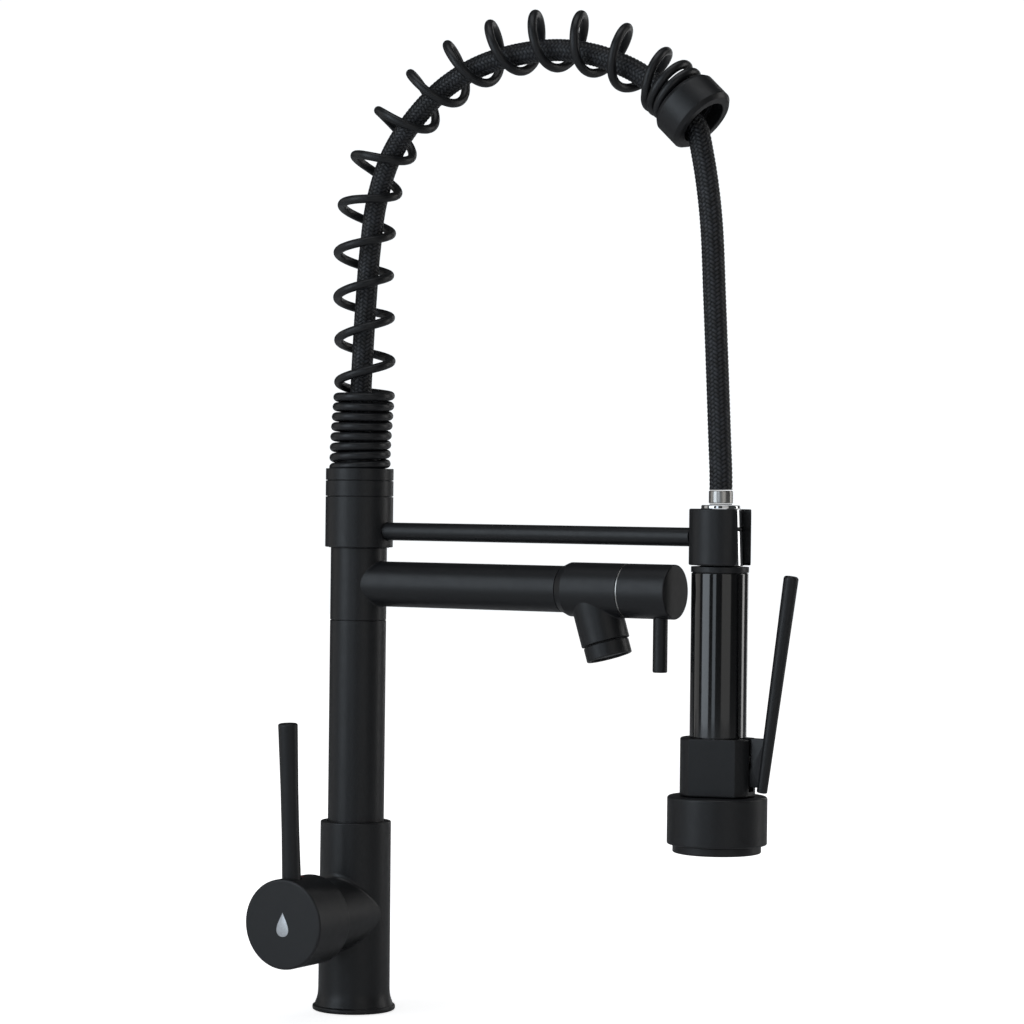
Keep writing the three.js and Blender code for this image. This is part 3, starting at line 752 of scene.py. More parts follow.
@dataclass(frozen=True)
class BraidedYarn(Finish):
    """Glossy synthetic yarn: each strand has its own tone and is a flat bundle of filaments.

    Attributes:
        filaments: Filaments across a strand.
        gap: Share of the dark colour kept in the gaps between strands: painted shade where the strands shadow
            the gaps.
        crown: Strength of the reflection on top of a strand.
    """

    filaments: float = 5.0
    gap: float = 0.3
    crown: float = 0.85

    def shade(self, nodes: Nodes) -> None:
        """Tone from the strand's own value, darkened by painted shade where the strand sinks into the gaps;
        relief from its filaments.
        """
        strand, lift, across = (
            nodes.node("ShaderNodeAttribute", attribute_name=name).outputs["Fac"]
            for name in ("strand", "lift", "across")
        )
        tone = nodes.mix(strand, self.dark, self.light)
        # painted shade: where lift is low, between the strands, the colour falls to a fraction of the dark
        # tone
        shade = nodes.node("ShaderNodeMix", data_type="RGBA")
        nodes.link(lift, shade.inputs["Factor"])
        shade.inputs[6].default_value = (*(c * self.gap for c in self.dark), 1.0)
        nodes.link(tone, shade.inputs[7])
        nodes.feed("Base Color", shade.outputs[2])
        grain = nodes.noise(4200.0, 3.0)
        nodes.feed("Roughness", nodes.spread(grain, *self.rough))
        nodes.feed("Specular IOR Level", nodes.scaled(lift, self.crown))
        wave = nodes.node("ShaderNodeMath", operation="COSINE")
        nodes.link(nodes.scaled(across, math.pi * self.filaments), wave.inputs[0])
        nodes.bump(wave.outputs[0], 4e-5, 0.6)
        nodes.bump(grain, 2e-5, 0.5)


SATIN = PowderCoat(
    "satin_powder_coat", Slot.SATIN, (0.0105, 0.0110, 0.0122), (0.0125, 0.0131, 0.0146), (0.36, 0.44)
)
WIRE = PowderCoat(
    "spring_wire_coat", Slot.SPRING, (0.0100, 0.0106, 0.0120), (0.0130, 0.0138, 0.0155), (0.33, 0.42)
)
GLOSS = MouldedGloss(
    "lacquered_grip", Slot.GLOSS, (0.0035, 0.0036, 0.0040), (0.0045, 0.0047, 0.0052), (0.10, 0.16)
)
BRAID = BraidedYarn(
    "black_braid", Slot.BRAID, (0.0100, 0.0108, 0.0130), (0.0270, 0.0295, 0.0365), (0.30, 0.42)
)
CHROME = Metal(
    "polished_chrome", Slot.CHROME, (0.78, 0.79, 0.80), (0.84, 0.85, 0.86), (0.03, 0.07), marks=4e-7
)
INLAY = Metal(
    "silver_inlay", Slot.CHROME, (0.62, 0.64, 0.66), (0.74, 0.76, 0.78), (0.34, 0.44), marks=1e-6
)
STEEL = Metal(
    "drawn_steel", Slot.STEEL, (0.52, 0.51, 0.49), (0.66, 0.65, 0.63), (0.22, 0.34),
    draw=(1.0, 1.0, 0.04), marks=3e-6,
)
BRASS = Metal(
    "turned_brass", Slot.BRASS, (0.50, 0.34, 0.15), (0.60, 0.42, 0.19), (0.24, 0.36), draw=(0.2, 0.2, 1.0)
)
RUBBER = Moulded(
    "black_rubber", Slot.RUBBER, (0.008, 0.008, 0.009), (0.014, 0.014, 0.015), (0.70, 0.85), soft=0.2
)
NUB = Moulded(
    "silicone_nub", Slot.RUBBER, (0.030, 0.031, 0.034), (0.040, 0.041, 0.045), (0.50, 0.62), soft=0.15
)
CERAMIC = Moulded(
    "fired_ceramic", Slot.CERAMIC, (0.78, 0.76, 0.70), (0.84, 0.82, 0.77), (0.16, 0.24), skin=2e-6
)
ACETAL = Moulded("white_acetal", Slot.ACETAL, (0.66, 0.65, 0.61), (0.72, 0.71, 0.67), (0.40, 0.52))
MESH = Moulded("grey_mesh", Slot.GREY, (0.22, 0.23, 0.24), (0.30, 0.31, 0.32), (0.38, 0.50), skin=5e-6)
INDICATOR = Moulded(
    "indicator_plug", Slot.INDICATOR, (0.16, 0.012, 0.012), (0.22, 0.016, 0.014), (0.25, 0.35)
)


# ------------------------------------------------------------------------------- pieces


def box(node: str) -> tuple[np.ndarray, np.ndarray]:
    """Lowest and highest corner of a CAD node, in millimetres."""
    low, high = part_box(node)
    return np.array(low) / MM, np.array(high) / MM


def heights(node: str) -> tuple[float, float]:
    """Foot and top of a CAD node."""
    low, high = box(node)
    return float(low[2]), float(high[2])


def half_width(node: str) -> float:
    """Half the size of a CAD node along Y: the radius of a piece turned about X or Z."""
    low, high = box(node)
    return float(high[1] - low[1]) / 2


def centre(node: str) -> np.ndarray:
    """Middle of a CAD node's box."""
    low, high = box(node)
    return (low + high) / 2


def frontward(height: float) -> Place:
    """A place on the column's axis that points to the front, along -Y."""
    return Place((0.0, 0.0, height), (0.0, -1.0, 0.0))


def spoutward(height: float, x: float = 0.0) -> Place:
    """A place that points along the spout, along +X."""
    return Place((x, 0.0, height), (1.0, 0.0, 0.0), (0.0, 1.0, 0.0))


def crosswise(node: str) -> Place:
    """A place in the middle of a CAD node that points across the spout, along +Y."""
    x, _, z = centre(node)
    return Place((float(x), 0.0, float(z)), (0.0, 1.0, 0.0), (1.0, 0.0, 0.0))


def show(mesh: bpy.types.Mesh, finish: Finish) -> bpy.types.Object:
    """An object at the origin for a finished mesh, with its finish.

    Args:
        mesh: The mesh, named as the piece.
        finish: Its finish.

    Returns:
        The linked object, riding on nothing yet.
    """
    mesh.materials.append(finish.material())
    obj = bpy.data.objects.new(mesh.name, mesh)
    bpy.context.scene.collection.objects.link(obj)
    LOG.info("%s: %d faces", mesh.name, len(mesh.polygons))
    return obj


def fit(
    source: Shell | bpy.types.Mesh, name: str, body: str, finish: Finish, *nodes: str
) -> bpy.types.Object:
    """Shows a piece and fastens it to a CAD body.

    Args:
        source: The piece's surface or mesh.
        name: Its name.
        body: The CAD body that it rides on.
        finish: Its finish.
        *nodes: CAD nodes that it stands for.

    Returns:
        The object.
    """
    mesh = source.mesh(name) if isinstance(source, Shell) else source
    obj = show(mesh, finish)
    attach(obj, body)
    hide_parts(*nodes)
    return obj


@dataclass
class Base:
    """The flanged body with the column's socket on top and the mixer's bonnet at its front.

    Attributes:
        flange_top: Height of the flange.
        flare_top: Height where the flare meets the body.
        low: Radius above the flare.
        top: Radius at the top.
        bonnet: Radius of the bonnet.
        bonnet_end: Distance of the bonnet's mouth from the column's axis.
        cavity: Radius of the bonnet's inside.
        soft: Fillet between body and bonnet.
        inlet: Distance of the hose sockets from the axis.
        stud: Distance of the stud sockets from the axis.
    """

    flange_top: float = 2.6
    flare_top: float = 14.0
    low: float = 20.4
    top: float = 20.1
    bonnet: float = 20.0
    bonnet_end: float = 43.1
    cavity: float = 17.0
    soft: float = 3.2
    inlet: float = 8.0
    stud: float = 11.5

    def profile(self) -> np.ndarray:
        """Underside with the gasket's groove, rounded flange, hollow flare, straight body, socket."""
        rim, height = half_width("base_gasket") + 2.6, heights("base_body")[1]
        socket = half_width("column_tube") + GAP
        t = np.linspace(0, 1, 9)[1:-1]
        flare = [[self.low + 1.9 * (1 - s) ** 3, 3.9 + (self.flare_top - 3.9) * s] for s in t]
        corners = [
            [0, 0], [16.7, 0, 0.2], [16.7, 2.1], [21.3, 2.1], [21.3, 0, 0.2], [rim, 0, 1.1],
            [rim, self.flange_top, 1.2], [self.low + 2.0, self.flange_top + 0.5, 0.5], *flare,
            [self.low, self.flare_top], [self.top, height, 0.7], [socket, height, 0.3],
            [socket, 92], [10, 92], [10, 76], [0, 76],
        ]
        return evened(rounded(corners), 2.5)

    def build(self) -> None:
        """Body with its sockets cut, the bonnet's tube, and the gasket under the flange."""
        front = frontward(float(centre("handle_hub")[2]))
        holes = [turned(pin(self.cavity, 6, 60), place=front)]
        for side in (-1, 1):
            holes.append(turned(pin(5, -1, 18), SMALL, Place((side * self.inlet, 0, 0))))
            holes.append(turned(pin(2.4, -1, 14), SMALL, Place((0, side * self.stud, 0))))
        body = carved(turned(self.profile()), holes, "base_body_shell")
        fit(body, "base_body_shell", "root", SATIN, "base_body")
        bonnet = Branch(
            front.origin, front.along, body_axis=(0.0, 0.0, 1.0), body=(self.low + self.top) / 2,
            radius=self.bonnet, bore=self.cavity, fillet=self.soft, end=self.bonnet_end,
        )
        fit(bonnet.shell(144, 10), "mixer_bonnet", "root", SATIN)
        gasket = turned(tube_ring(17, 21, *heights("base_gasket"), 0.3))
        fit(gasket, "base_gasket_ring", "root", RUBBER, "base_gasket")


@dataclass
class Column:
    """The straight tube between the base and the swinging parts.

    Attributes:
        inner: Radius of its inside.
    """

    inner: float = 13.8

    def build(self) -> None:
        """The tube with its softly broken edges."""
        foot, top = heights("column_tube")
        shell = turned(tube_ring(self.inner, half_width("column_tube"), foot, top, 0.35))
        fit(shell, "column_pipe", "root", SATIN, "column_tube")


@dataclass
class MixerHandle:
    """The round hub on the bonnet, its long stick, the temperature plug and the generic mark.

    Attributes:
        back: Distance of the hub's open back from the column's axis.
        cup: Radius of the hub's hollow back.
        floor: Where the hollow ends.
        plug_out: Distance of the temperature plug from the column's axis.
        stick_out: Distance of the stick's axis from the column's axis.
        lean: Angle of the stick off vertical, in degrees.
        stick_foot: Start of the stick, from the hub's axis.
        stick_end: Its end, from the hub's axis.
        mark_height: Height of the drop-shaped mark.
    """

    back: float = 43.4
    cup: float = 22.0
    floor: float = 52.0
    plug_out: float = 55.2
    stick_out: float = 63.1
    lean: float = 3.5
    stick_foot: float = 13.5
    stick_end: float = 111.0
    mark_height: float = 13.5

    def build(self) -> None:
        """Hub, stick, plug, mark and the cartridge nut behind the hub."""
        middle = float(centre("handle_hub")[2])
        face = -float(box("handle_hub")[0][1])
        foot, top = heights("handle_hub")
        radius = (top - foot) / 2
        front = frontward(middle)
        cup = rounded([
            [0, self.floor], [self.cup, self.floor, 0.8], [self.cup, self.back, 0.2],
            [radius, self.back, 0.6], [radius, face, 1.1], [0, face],
        ])
        tilt = math.radians(self.lean)
        up = Place((0.0, -self.stick_out, middle), (0.0, -math.sin(tilt), math.cos(tilt)))
        above = Place((0.0, -self.plug_out, middle))
        holes = [
            turned(pin(5.75, self.stick_foot - 0.5, 40), SMALL, up),
            turned(pin(2.1, 21, 30), SMALL, above),
        ]
        hub = carved(turned(evened(cup, 4), 144, front), holes, "hub_shell")
        fit(hub, "hub_shell", "handle", SATIN, "handle_hub")
        start, end = self.stick_foot, self.stick_end
        shape = rounded([
            [0, start], [5.25, start, 0.4], [5.25, 25], [4.92, 50], [4.95, 75], [5.45, end, 1.0], [0, end],
        ])
        fit(turned(shape, SMALL, up), "handle_rod", "handle", SATIN, "handle_stick")
        plug = rounded([[0, 21.6], [1.9, 21.6, 0.3], [1.9, 25.1, 0.6], [0, 25.1]])
        fit(turned(plug, FINE, above), "temperature_plug", "handle", INDICATOR, "indicator_plug")
        nut = rounded([
            [7.6, 34], [7.6, 29.7], [18, 29.7, 0.3], [18, 42.8, 0.4], [16.5, 43.2, 0.4],
            [13.5, 46.2, 1.2], [9.4, 47.5, 0.6], [9.4, 45, 0.3], [7.6, 40, 0.3], [7.6, 34],
        ])[:-1]
        fit(turned(nut, place=front), "bonnet_nut", "root", BRASS, "cartridge_nut")
        self.mark(front, face)

    def mark(self, front: Place, face: float) -> None:
        """A plain water drop inlaid in the hub's face.

        The outline is (sin a · sin(a / 2)^1.6 · width, cos a · height / 2): round below, pointed above.

        Args:
            front: The hub's place.
            face: Distance of the hub's face along its axis.
        """
        sides, width = 72, self.mark_height * 0.42
        a = 2 * np.pi * np.arange(sides) / sides
        x = np.sin(a) * np.sin(a / 2) ** 1.6 * width
        z = np.cos(a) * self.mark_height / 2
        rows = [(0.985, -0.3), (1.0, 0.0), (1.0, 0.03), (0.97, 0.06)]
        loops = [np.stack([s * x, np.full(sides, -(face + h)), front.origin[2] + s * z], -1) for s, h in rows]
        fit(capped(np.stack(loops)), "hub_mark", "handle", INLAY)


@dataclass
class Spout:
    """The swinging spout: sleeve, tube, valve body, slanted nozzle and aerator.

    Attributes:
        bore: Inner radius of the tube.
        flare: Where the valve body reaches its full radius.
        soft: Fillet between sleeve and tube.
        nozzle_at: Distance of the nozzle's axis along the spout.
        tilt: Slant of the nozzle off vertical, in degrees.
        nozzle: Radius of the nozzle.
        nozzle_end: Its end, from the spout's axis.
        aerator: Radius of the aerator's housing.
        aerator_end: Its end, from the spout's axis.
    """

    bore: float = 9.5
    flare: float = 139.8
    soft: float = 0.9
    nozzle_at: float = 152.2
    tilt: float = 17.2
    nozzle: float = 13.4
    nozzle_end: float = 29.7
    aerator: float = 12.6
    aerator_end: float = 38.3

    def build(self) -> None:
        """All the spout's outer pieces."""
        z = float(centre("valve_knob")[2])
        foot, top = heights("spout_sleeve")
        column = half_width("spout_sleeve")
        sleeve = ringed([
            [column, foot, 0.35], [column, top, 0.35], [11, top, 0.2], [11, 226.5], [13, 226.5],
            *spigot(13, column, foot),
        ])
        fit(turned(sleeve), "sleeve_shell", "spout", SATIN, "spout_sleeve")
        radius, end = half_width("spout_tube"), float(box("spout_tube")[1][0])
        tube = Branch(
            (0.0, 0.0, z), (1.0, 0.0, 0.0), body_axis=(0.0, 0.0, 1.0), body=column,
            radius=radius, bore=self.bore, fillet=self.soft, end=end, edge=0.25,
        )
        fit(tube.shell(), "spout_pipe", "spout", SATIN, "spout_tube")
        self.build_valve(z, radius)

    def build_valve(self, z: float, radius: float) -> None:
        """Valve body, nozzle, aerator and its mesh.

        Args:
            z: Height of the spout's axis.
            radius: Radius of the spout's tube.
        """
        low, high = box("valve_body")
        wide = half_width("valve_body")
        body = ringed([
            [radius, low[0], 0.25], [wide, self.flare, 1.4], [wide, high[0], 0.3], [10.5, high[0], 0.2],
            [10.5, 144], [self.bore, 144], [self.bore, low[0], 0.2],
        ])
        fit(turned(body, place=spoutward(z)), "valve_shell", "spout", SATIN, "valve_body")
        slant = math.radians(self.tilt)
        down = (math.sin(slant), 0.0, -math.cos(slant))
        origin = (self.nozzle_at, 0.0, z)
        nozzle = Branch(
            origin, down, body_axis=(1.0, 0.0, 0.0), body=wide,
            radius=self.nozzle, bore=8.0, fillet=1.0, end=self.nozzle_end,
        )
        fit(nozzle.shell(), "nozzle_shell", "spout", SATIN, "nozzle_body")
        place = Place(origin, down, (0.0, 1.0, 0.0))
        start, end, r = self.nozzle_end + 0.9, self.aerator_end, self.aerator
        housing = ringed([
            [r, start, 0.3], [r, end, 0.6], [10.8, end, 0.3], [10.8, 33, 0.2], [9, 33], [9, start, 0.2],
        ])
        fit(turned(housing, place=place), "aerator_ring", "spout", SATIN, "aerator_housing")
        seal = tube_ring(9, 12, self.nozzle_end + 0.2, start - 0.3, 0.15)
        fit(turned(seal, place=place), "aerator_seal", "spout", RUBBER, "aerator_gasket")
        self.build_comb(place)

    def build_comb(self, place: Place) -> None:
        """The aerator's honeycomb: six-sided cells with thin walls, over a plain plate.

        Args:
            place: The nozzle's place.
        """
        pitch, wall, limit = 2.1, 0.22, 9.4
        size = pitch / math.sqrt(3)
        loops = [(size, 34.4), (size, 36.6), (size - wall, 36.6), (size - wall, 34.4)]
        reach = range(-6, 7)
        shells = []
        for at in (np.array([1.5 * i, math.sqrt(3) * (j + i / 2)]) * size for i in reach for j in reach):
            if np.hypot(*at) <= limit:
                rows = [np.concatenate([at + r * circle(6), np.full((6, 1), h)], -1) for r, h in loops]
                shells.append(grid(np.stack(rows), wrap_rows=True))
        plate = turned(pin(10.5, 33.3, 34.3, 0.1), SMALL)
        ring = turned(tube_ring(9.6, 10.6, 34.4, 36.9, 0.2), SMALL)
        comb = plate.joined(ring, *shells).placed(place)
        fit(comb, "aerator_comb", "spout", MESH, "aerator_insert")


@dataclass
class ShutOffKnob:
    """The turning end of the spout with its own short stick.

    Attributes:
        stick_at: Distance of the stick's axis from the column's axis.
        stick: Radius of the stick.
        stick_end: Its end, from the spout's axis.
    """

    stick_at: float = 194.5
    stick: float = 4.0
    stick_end: float = 43.7

    def build(self) -> None:
        """Seam ring, knob and stick."""
        z = float(centre("valve_knob")[2])
        low, high = box("valve_knob")
        radius = half_width("valve_knob")
        shape = rounded([
            [0, 186], [4, 186], [4, low[0], 0.2], [radius, low[0], 0.3], [radius, high[0], 0.8], [0, high[0]],
        ])
        down = Place((self.stick_at, 0.0, z), (0.0, 0.0, -1.0), (1.0, 0.0, 0.0))
        hole = turned(pin(self.stick + 0.25, 7, 20), SMALL, down)
        knob = carved(turned(evened(shape, 3), place=spoutward(z)), [hole], "knob_shell")
        fit(knob, "knob_shell", "spout_knob", SATIN, "valve_knob")
        rod = turned(pin(self.stick, 7.5, self.stick_end, 0.8), SMALL, down)
        fit(rod, "knob_rod", "spout_knob", SATIN, "knob_stick")
        ends = box("knob_ring")
        ring = tube_ring(4.4, half_width("knob_ring"), ends[0][0], ends[1][0], 0.1)
        fit(turned(ring, place=spoutward(z)), "knob_seam_ring", "spout", STEEL, "knob_ring")


@dataclass
class HolderArm:
    """The turning collar on the column, the rings above it, the long rod and the open clip.

    Attributes:
        rod: Radius of the rod.
        rim: Height of the rim round the spring's seat.
        slot: Width of the clip's mouth.
        bore_foot: Radius of the clip's bore at its foot.
        bore_top: Radius at its top.
        facet: Distance of the flats beside the mouth from the clip's axis.
        facet_angle: Direction of those flats off +X, in degrees.
        corner: Rounding of the lips' corners, seen from the front.
    """

    rod: float = 5.05
    rim: float = 308.4
    slot: float = 17.2
    bore_foot: float = 13.2
    bore_top: float = 11.9
    facet: float = 16.42
    facet_angle: float = 29.3
    corner: float = 2.0

    def build(self) -> None:
        """Collar, lock ring, spring seat, rod and clip."""
        foot, top = heights("arm_collar")
        radius = half_width("arm_collar")
        collar = ringed([
            [radius, foot, 0.5], [radius, top, 0.35], [11, top, 0.2], [11, 267.7], [13, 267.7],
            *spigot(13, radius, foot, shoulder=2.2),
        ])
        along = spoutward(float(centre("support_rod")[2]))
        hole = turned(pin(self.rod + 0.25, 8, 30), SMALL, along)
        shell = carved(turned(evened(collar, 3)), [hole], "collar_shell")
        fit(shell, "collar_shell", "arm", SATIN, "arm_collar")
        fit(turned(stepped(11, radius, *heights("lock_ring"))), "lock_band", "arm", SATIN, "lock_ring")
        low, high = heights("spring_seat")
        seat = ringed([
            [radius, low, 0.35], [radius, self.rim, 0.3], [18.1, self.rim, 0.2], [18.1, 303.9, 0.4],
            [11.6, 303.9, 0.4], [11.6, high, 0.8], [7.6, high, 0.3], *spigot(7.6, radius, low),
        ])
        fit(turned(seat), "spring_cup", "arm", SATIN, "spring_seat")
        ends = box("support_rod")
        bar = turned(pin(self.rod, float(ends[0][0]), float(ends[1][0]) - 0.6, 0.4), SMALL, along)
        fit(bar, "holder_rod", "arm", SATIN, "support_rod")
        self.build_clip()

    def build_clip(self) -> None:
        """The C-shaped clip: a rounded wall section carried round from one lip to the other.

        At radius r the lips lie where r·sin a is half the mouth's width, so both end faces are
        flat and parallel. A flat on each side of the mouth limits r to facet / cos(a - its angle).
        """
        low, high = heights("holder_clip")
        radius = half_width("holder_clip")
        x = float(centre("spray_grip")[0])
        section = ringed([
            [radius, low, 0.8], [radius, high, 0.8], [self.bore_top, high, 0.5], [self.bore_foot, low, 0.5],
        ], 5)
        share = np.concatenate([[0, 0.004], np.linspace(0.008, 0.992, 150), [0.996, 1]])
        r = section[:, 0][:, None]
        mouth = np.arcsin(np.clip(self.slot / 2 / r, -1, 1))
        angle = mouth + (2 * np.pi - 2 * mouth) * share[None]
        gap = np.minimum(angle - mouth, 2 * np.pi - mouth - angle) * r
        aside = np.abs(np.mod(angle + np.pi, 2 * np.pi) - np.pi) - math.radians(self.facet_angle)
        flat = np.where(np.cos(aside) > 0.5, self.facet / np.maximum(np.cos(aside), 0.5), radius)
        reach = np.minimum(r, flat)
        near = np.clip(1 - gap / self.corner, 0, 1)
        middle = (low + high) / 2
        squash = 1 - self.corner * (1 - np.sqrt(1 - near**2)) / (high - middle)
        height = middle + (section[:, 1:] - middle) * squash
        points = np.stack([x + reach * np.cos(angle), reach * np.sin(angle), height], -1)
        shell = capped(np.swapaxes(points, 0, 1))
        fit(shell, "clip_shell", "arm", SATIN, "holder_clip")


COIL_ROUTE = Route((
    (0, 308.2), (0.3, 322), (1.2, 335), (2.6, 354), (2.6, 372), (2.1, 390), (1.2, 410), (1.2, 430),
    (4.6, 462), (14.6, 488.5), (31, 509.8), (52, 526.2), (74.8, 537.8), (100.6, 544.1), (127.9, 544.6),
    (152, 540), (170, 532.4), (186.2, 521.9), (195.3, 515.8), (201.9, 509.9),
))
ARCH_ROUTE = Route((
    (0, 309.5), (0, 325), (0, 347), (1.2, 375), (3, 405), (5.2, 432), (9.4, 460.3), (19, 486.1),
    (34.4, 506.3), (53.9, 522.6), (76.2, 533.2), (101.1, 538.5), (127.5, 539.4), (149, 535.6),
    (165, 529.9), (176, 524.6), (186, 518.1), (196, 511.2), (202.16, 505.81), (204.83, 503.25),
))
DROP_ROUTE = Route((
    (205.12, 502.97), (207.58, 500.62), (209.83, 497.91), (211.7, 494.8), (213.5, 491.2), (216.7, 478),
    (219.7, 462), (222.5, 440), (224.9, 400), (227.1, 360), (228.9, 325), (229.8, 308), (230, 298.4),
))


@dataclass(frozen=True)
class Braid:
    """A braided sleeve's relief: strands of two directions, each over two and under two.

    With u counted round the hose and v along it, one set of strands follows u + v and the other
    u - v. Strand i of the first lies on top where (i + j) mod 4 is below 2, j being the strand of
    the second set that it crosses. A strand's height is round across and arched along each float.

    Attributes:
        strands: Strands of each direction, an even number.
        pitch: Length along the hose between neighbouring strands.
        core: Radius at the bottom of the gaps.
        relief: Height of a strand above the gaps.
    """

    strands: int = 14
    pitch: float = 2.3
    core: float = 5.72
    relief: float = 0.5

    def surface(self, route: Route, rows: int, columns: int) -> tuple[Shell, dict[str, np.ndarray]]:
        """The hose and the values that its finish reads.

        Args:
            route: The hose's centreline.
            rows: Steps along.
            columns: Steps around.

        Returns:
            The shell, and arrays named strand, across and lift with one value a point.
        """
        distance = np.linspace(0, route.span(), rows)
        u = self.strands * np.arange(columns)[None] / columns
        v = distance[:, None] / self.pitch
        a, b = u + v, u - v
        i, j = np.floor(a), np.floor(b)
        first = np.mod(i + j, 4) < 2
        across = np.where(first, a - i, b - j) * 2 - 1
        along = np.where(first, np.mod(b + i, 4), np.mod(a + j, 4) - 2) / 2
        arch = np.sin(np.pi * np.clip(along, 0, 1))
        lift = np.sqrt(np.clip(1 - across**2, 0, 1)) * (0.35 + 0.65 * arch)
        index = np.where(first, np.mod(i, 2 * self.strands) + 0.37, np.mod(j, 2 * self.strands) + 0.81)
        strand = np.mod(np.sin(index * 12.9898) * 43758.5453, 1)
        radius = self.core + self.relief * lift
        shell = hosed(route, radius, distance)
        # lift is a strand's height, and the finish also darkens the colour by it as painted shade in the gaps
        values = {"strand": strand, "across": across, "lift": lift}
        return shell, {k: np.concatenate([w.ravel(), w[0, :1], w[-1, :1]]) for k, w in values.items()}

    def mesh(self, name: str, route: Route, rows: int, columns: int) -> bpy.types.Mesh:
        """The hose's mesh with its strand values as attributes."""
        shell, values = self.surface(route, rows, columns)
        mesh = shell.mesh(name, sharp=80)
        for key, value in values.items():
            layer = mesh.attributes.new(key, "FLOAT", "POINT")
            layer.data.foreach_set("value", value.astype(np.float32))
        return mesh


@dataclass
class SpringArch:
    """The coil spring from the column to the end collar, and the hose that runs inside it.

    Attributes:
        wire: Radius of the spring's wire.
        coil: Radius of the coil at the wire's centre.
        close_pitch: Distance between close turns.
        sag_pitch: Distance between the lowest open turns, which carry the weight of the arch.
        turns: Close turns below, sagging turns, open turns, and close turns at the end collar.
        start: Where the stretch of a pull begins, in metres. Not used.
        end: Where it ends, in metres. Not used.
    """

    wire: float = 2.5
    coil: float = 15.0
    close_pitch: float = 5.63
    sag_pitch: float = 24.45
    turns: tuple[float, float, float, float] = (7.89, 3.2, 10.25, 2.1)
    start: tuple[float, float, float] = (0.0, 0.0, 0.35)
    end: tuple[float, float, float] = (0.2106, 0.0, 0.5016)

    def wire_line(self) -> tuple[np.ndarray, np.ndarray]:
        """Centreline of the wire: route point + coil·(cos a·normal - sin a·Y), a = 2π·turn.

        Returns:
            Places of the wire's centre, and the directions from the coil's axis to it.
        """
        total = sum(self.turns)
        turn = np.linspace(0, total, round(total * 60))
        close, sag, _, last = self.turns
        ends = [self.close_pitch * close, self.sag_pitch * sag, self.close_pitch * last]
        marks = np.cumsum([0, *self.turns])
        reach = np.cumsum([0, ends[0], ends[1], COIL_ROUTE.span() - sum(ends), ends[2]])
        middle, _, normal = COIL_ROUTE.at(np.interp(turn, marks, reach))
        angle = (2 * np.pi * turn)[:, None]
        out = np.cos(angle) * normal - np.sin(angle) * np.array([0.0, 1.0, 0.0])
        return middle + self.coil * out, out

    def coil_shell(self, sides: int = 18) -> Shell:
        """The wire: a round section carried along its line, with rounded ends."""
        line, out = self.wire_line()
        direction = np.gradient(line, axis=0)
        direction /= np.linalg.norm(direction, axis=-1)[:, None]
        first = out - (out * direction).sum(-1)[:, None] * direction
        first /= np.linalg.norm(first, axis=-1)[:, None]
        second = np.cross(direction, first)
        around = circle(sides)
        section = around[None, :, :1] * first[:, None] + around[None, :, 1:] * second[:, None]
        radius = np.full(len(line), self.wire)
        radius[[0, -1]] *= 0.7
        radius[[1, -2]] *= 0.93
        return capped(line[:, None] + radius[:, None, None] * section)

    def build(self) -> None:
        """Spring and hose, both curved from the arm to the pulled-down end."""
        spring = show(self.coil_shell().mesh("arch_spring", sharp=80), WIRE)
        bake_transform(spring)
        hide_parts("coil_spring")
        hose = show(Braid().mesh("arch_hose", ARCH_ROUTE, 1180, 84), BRAID)
        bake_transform(hose)
        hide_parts("hose_arch")


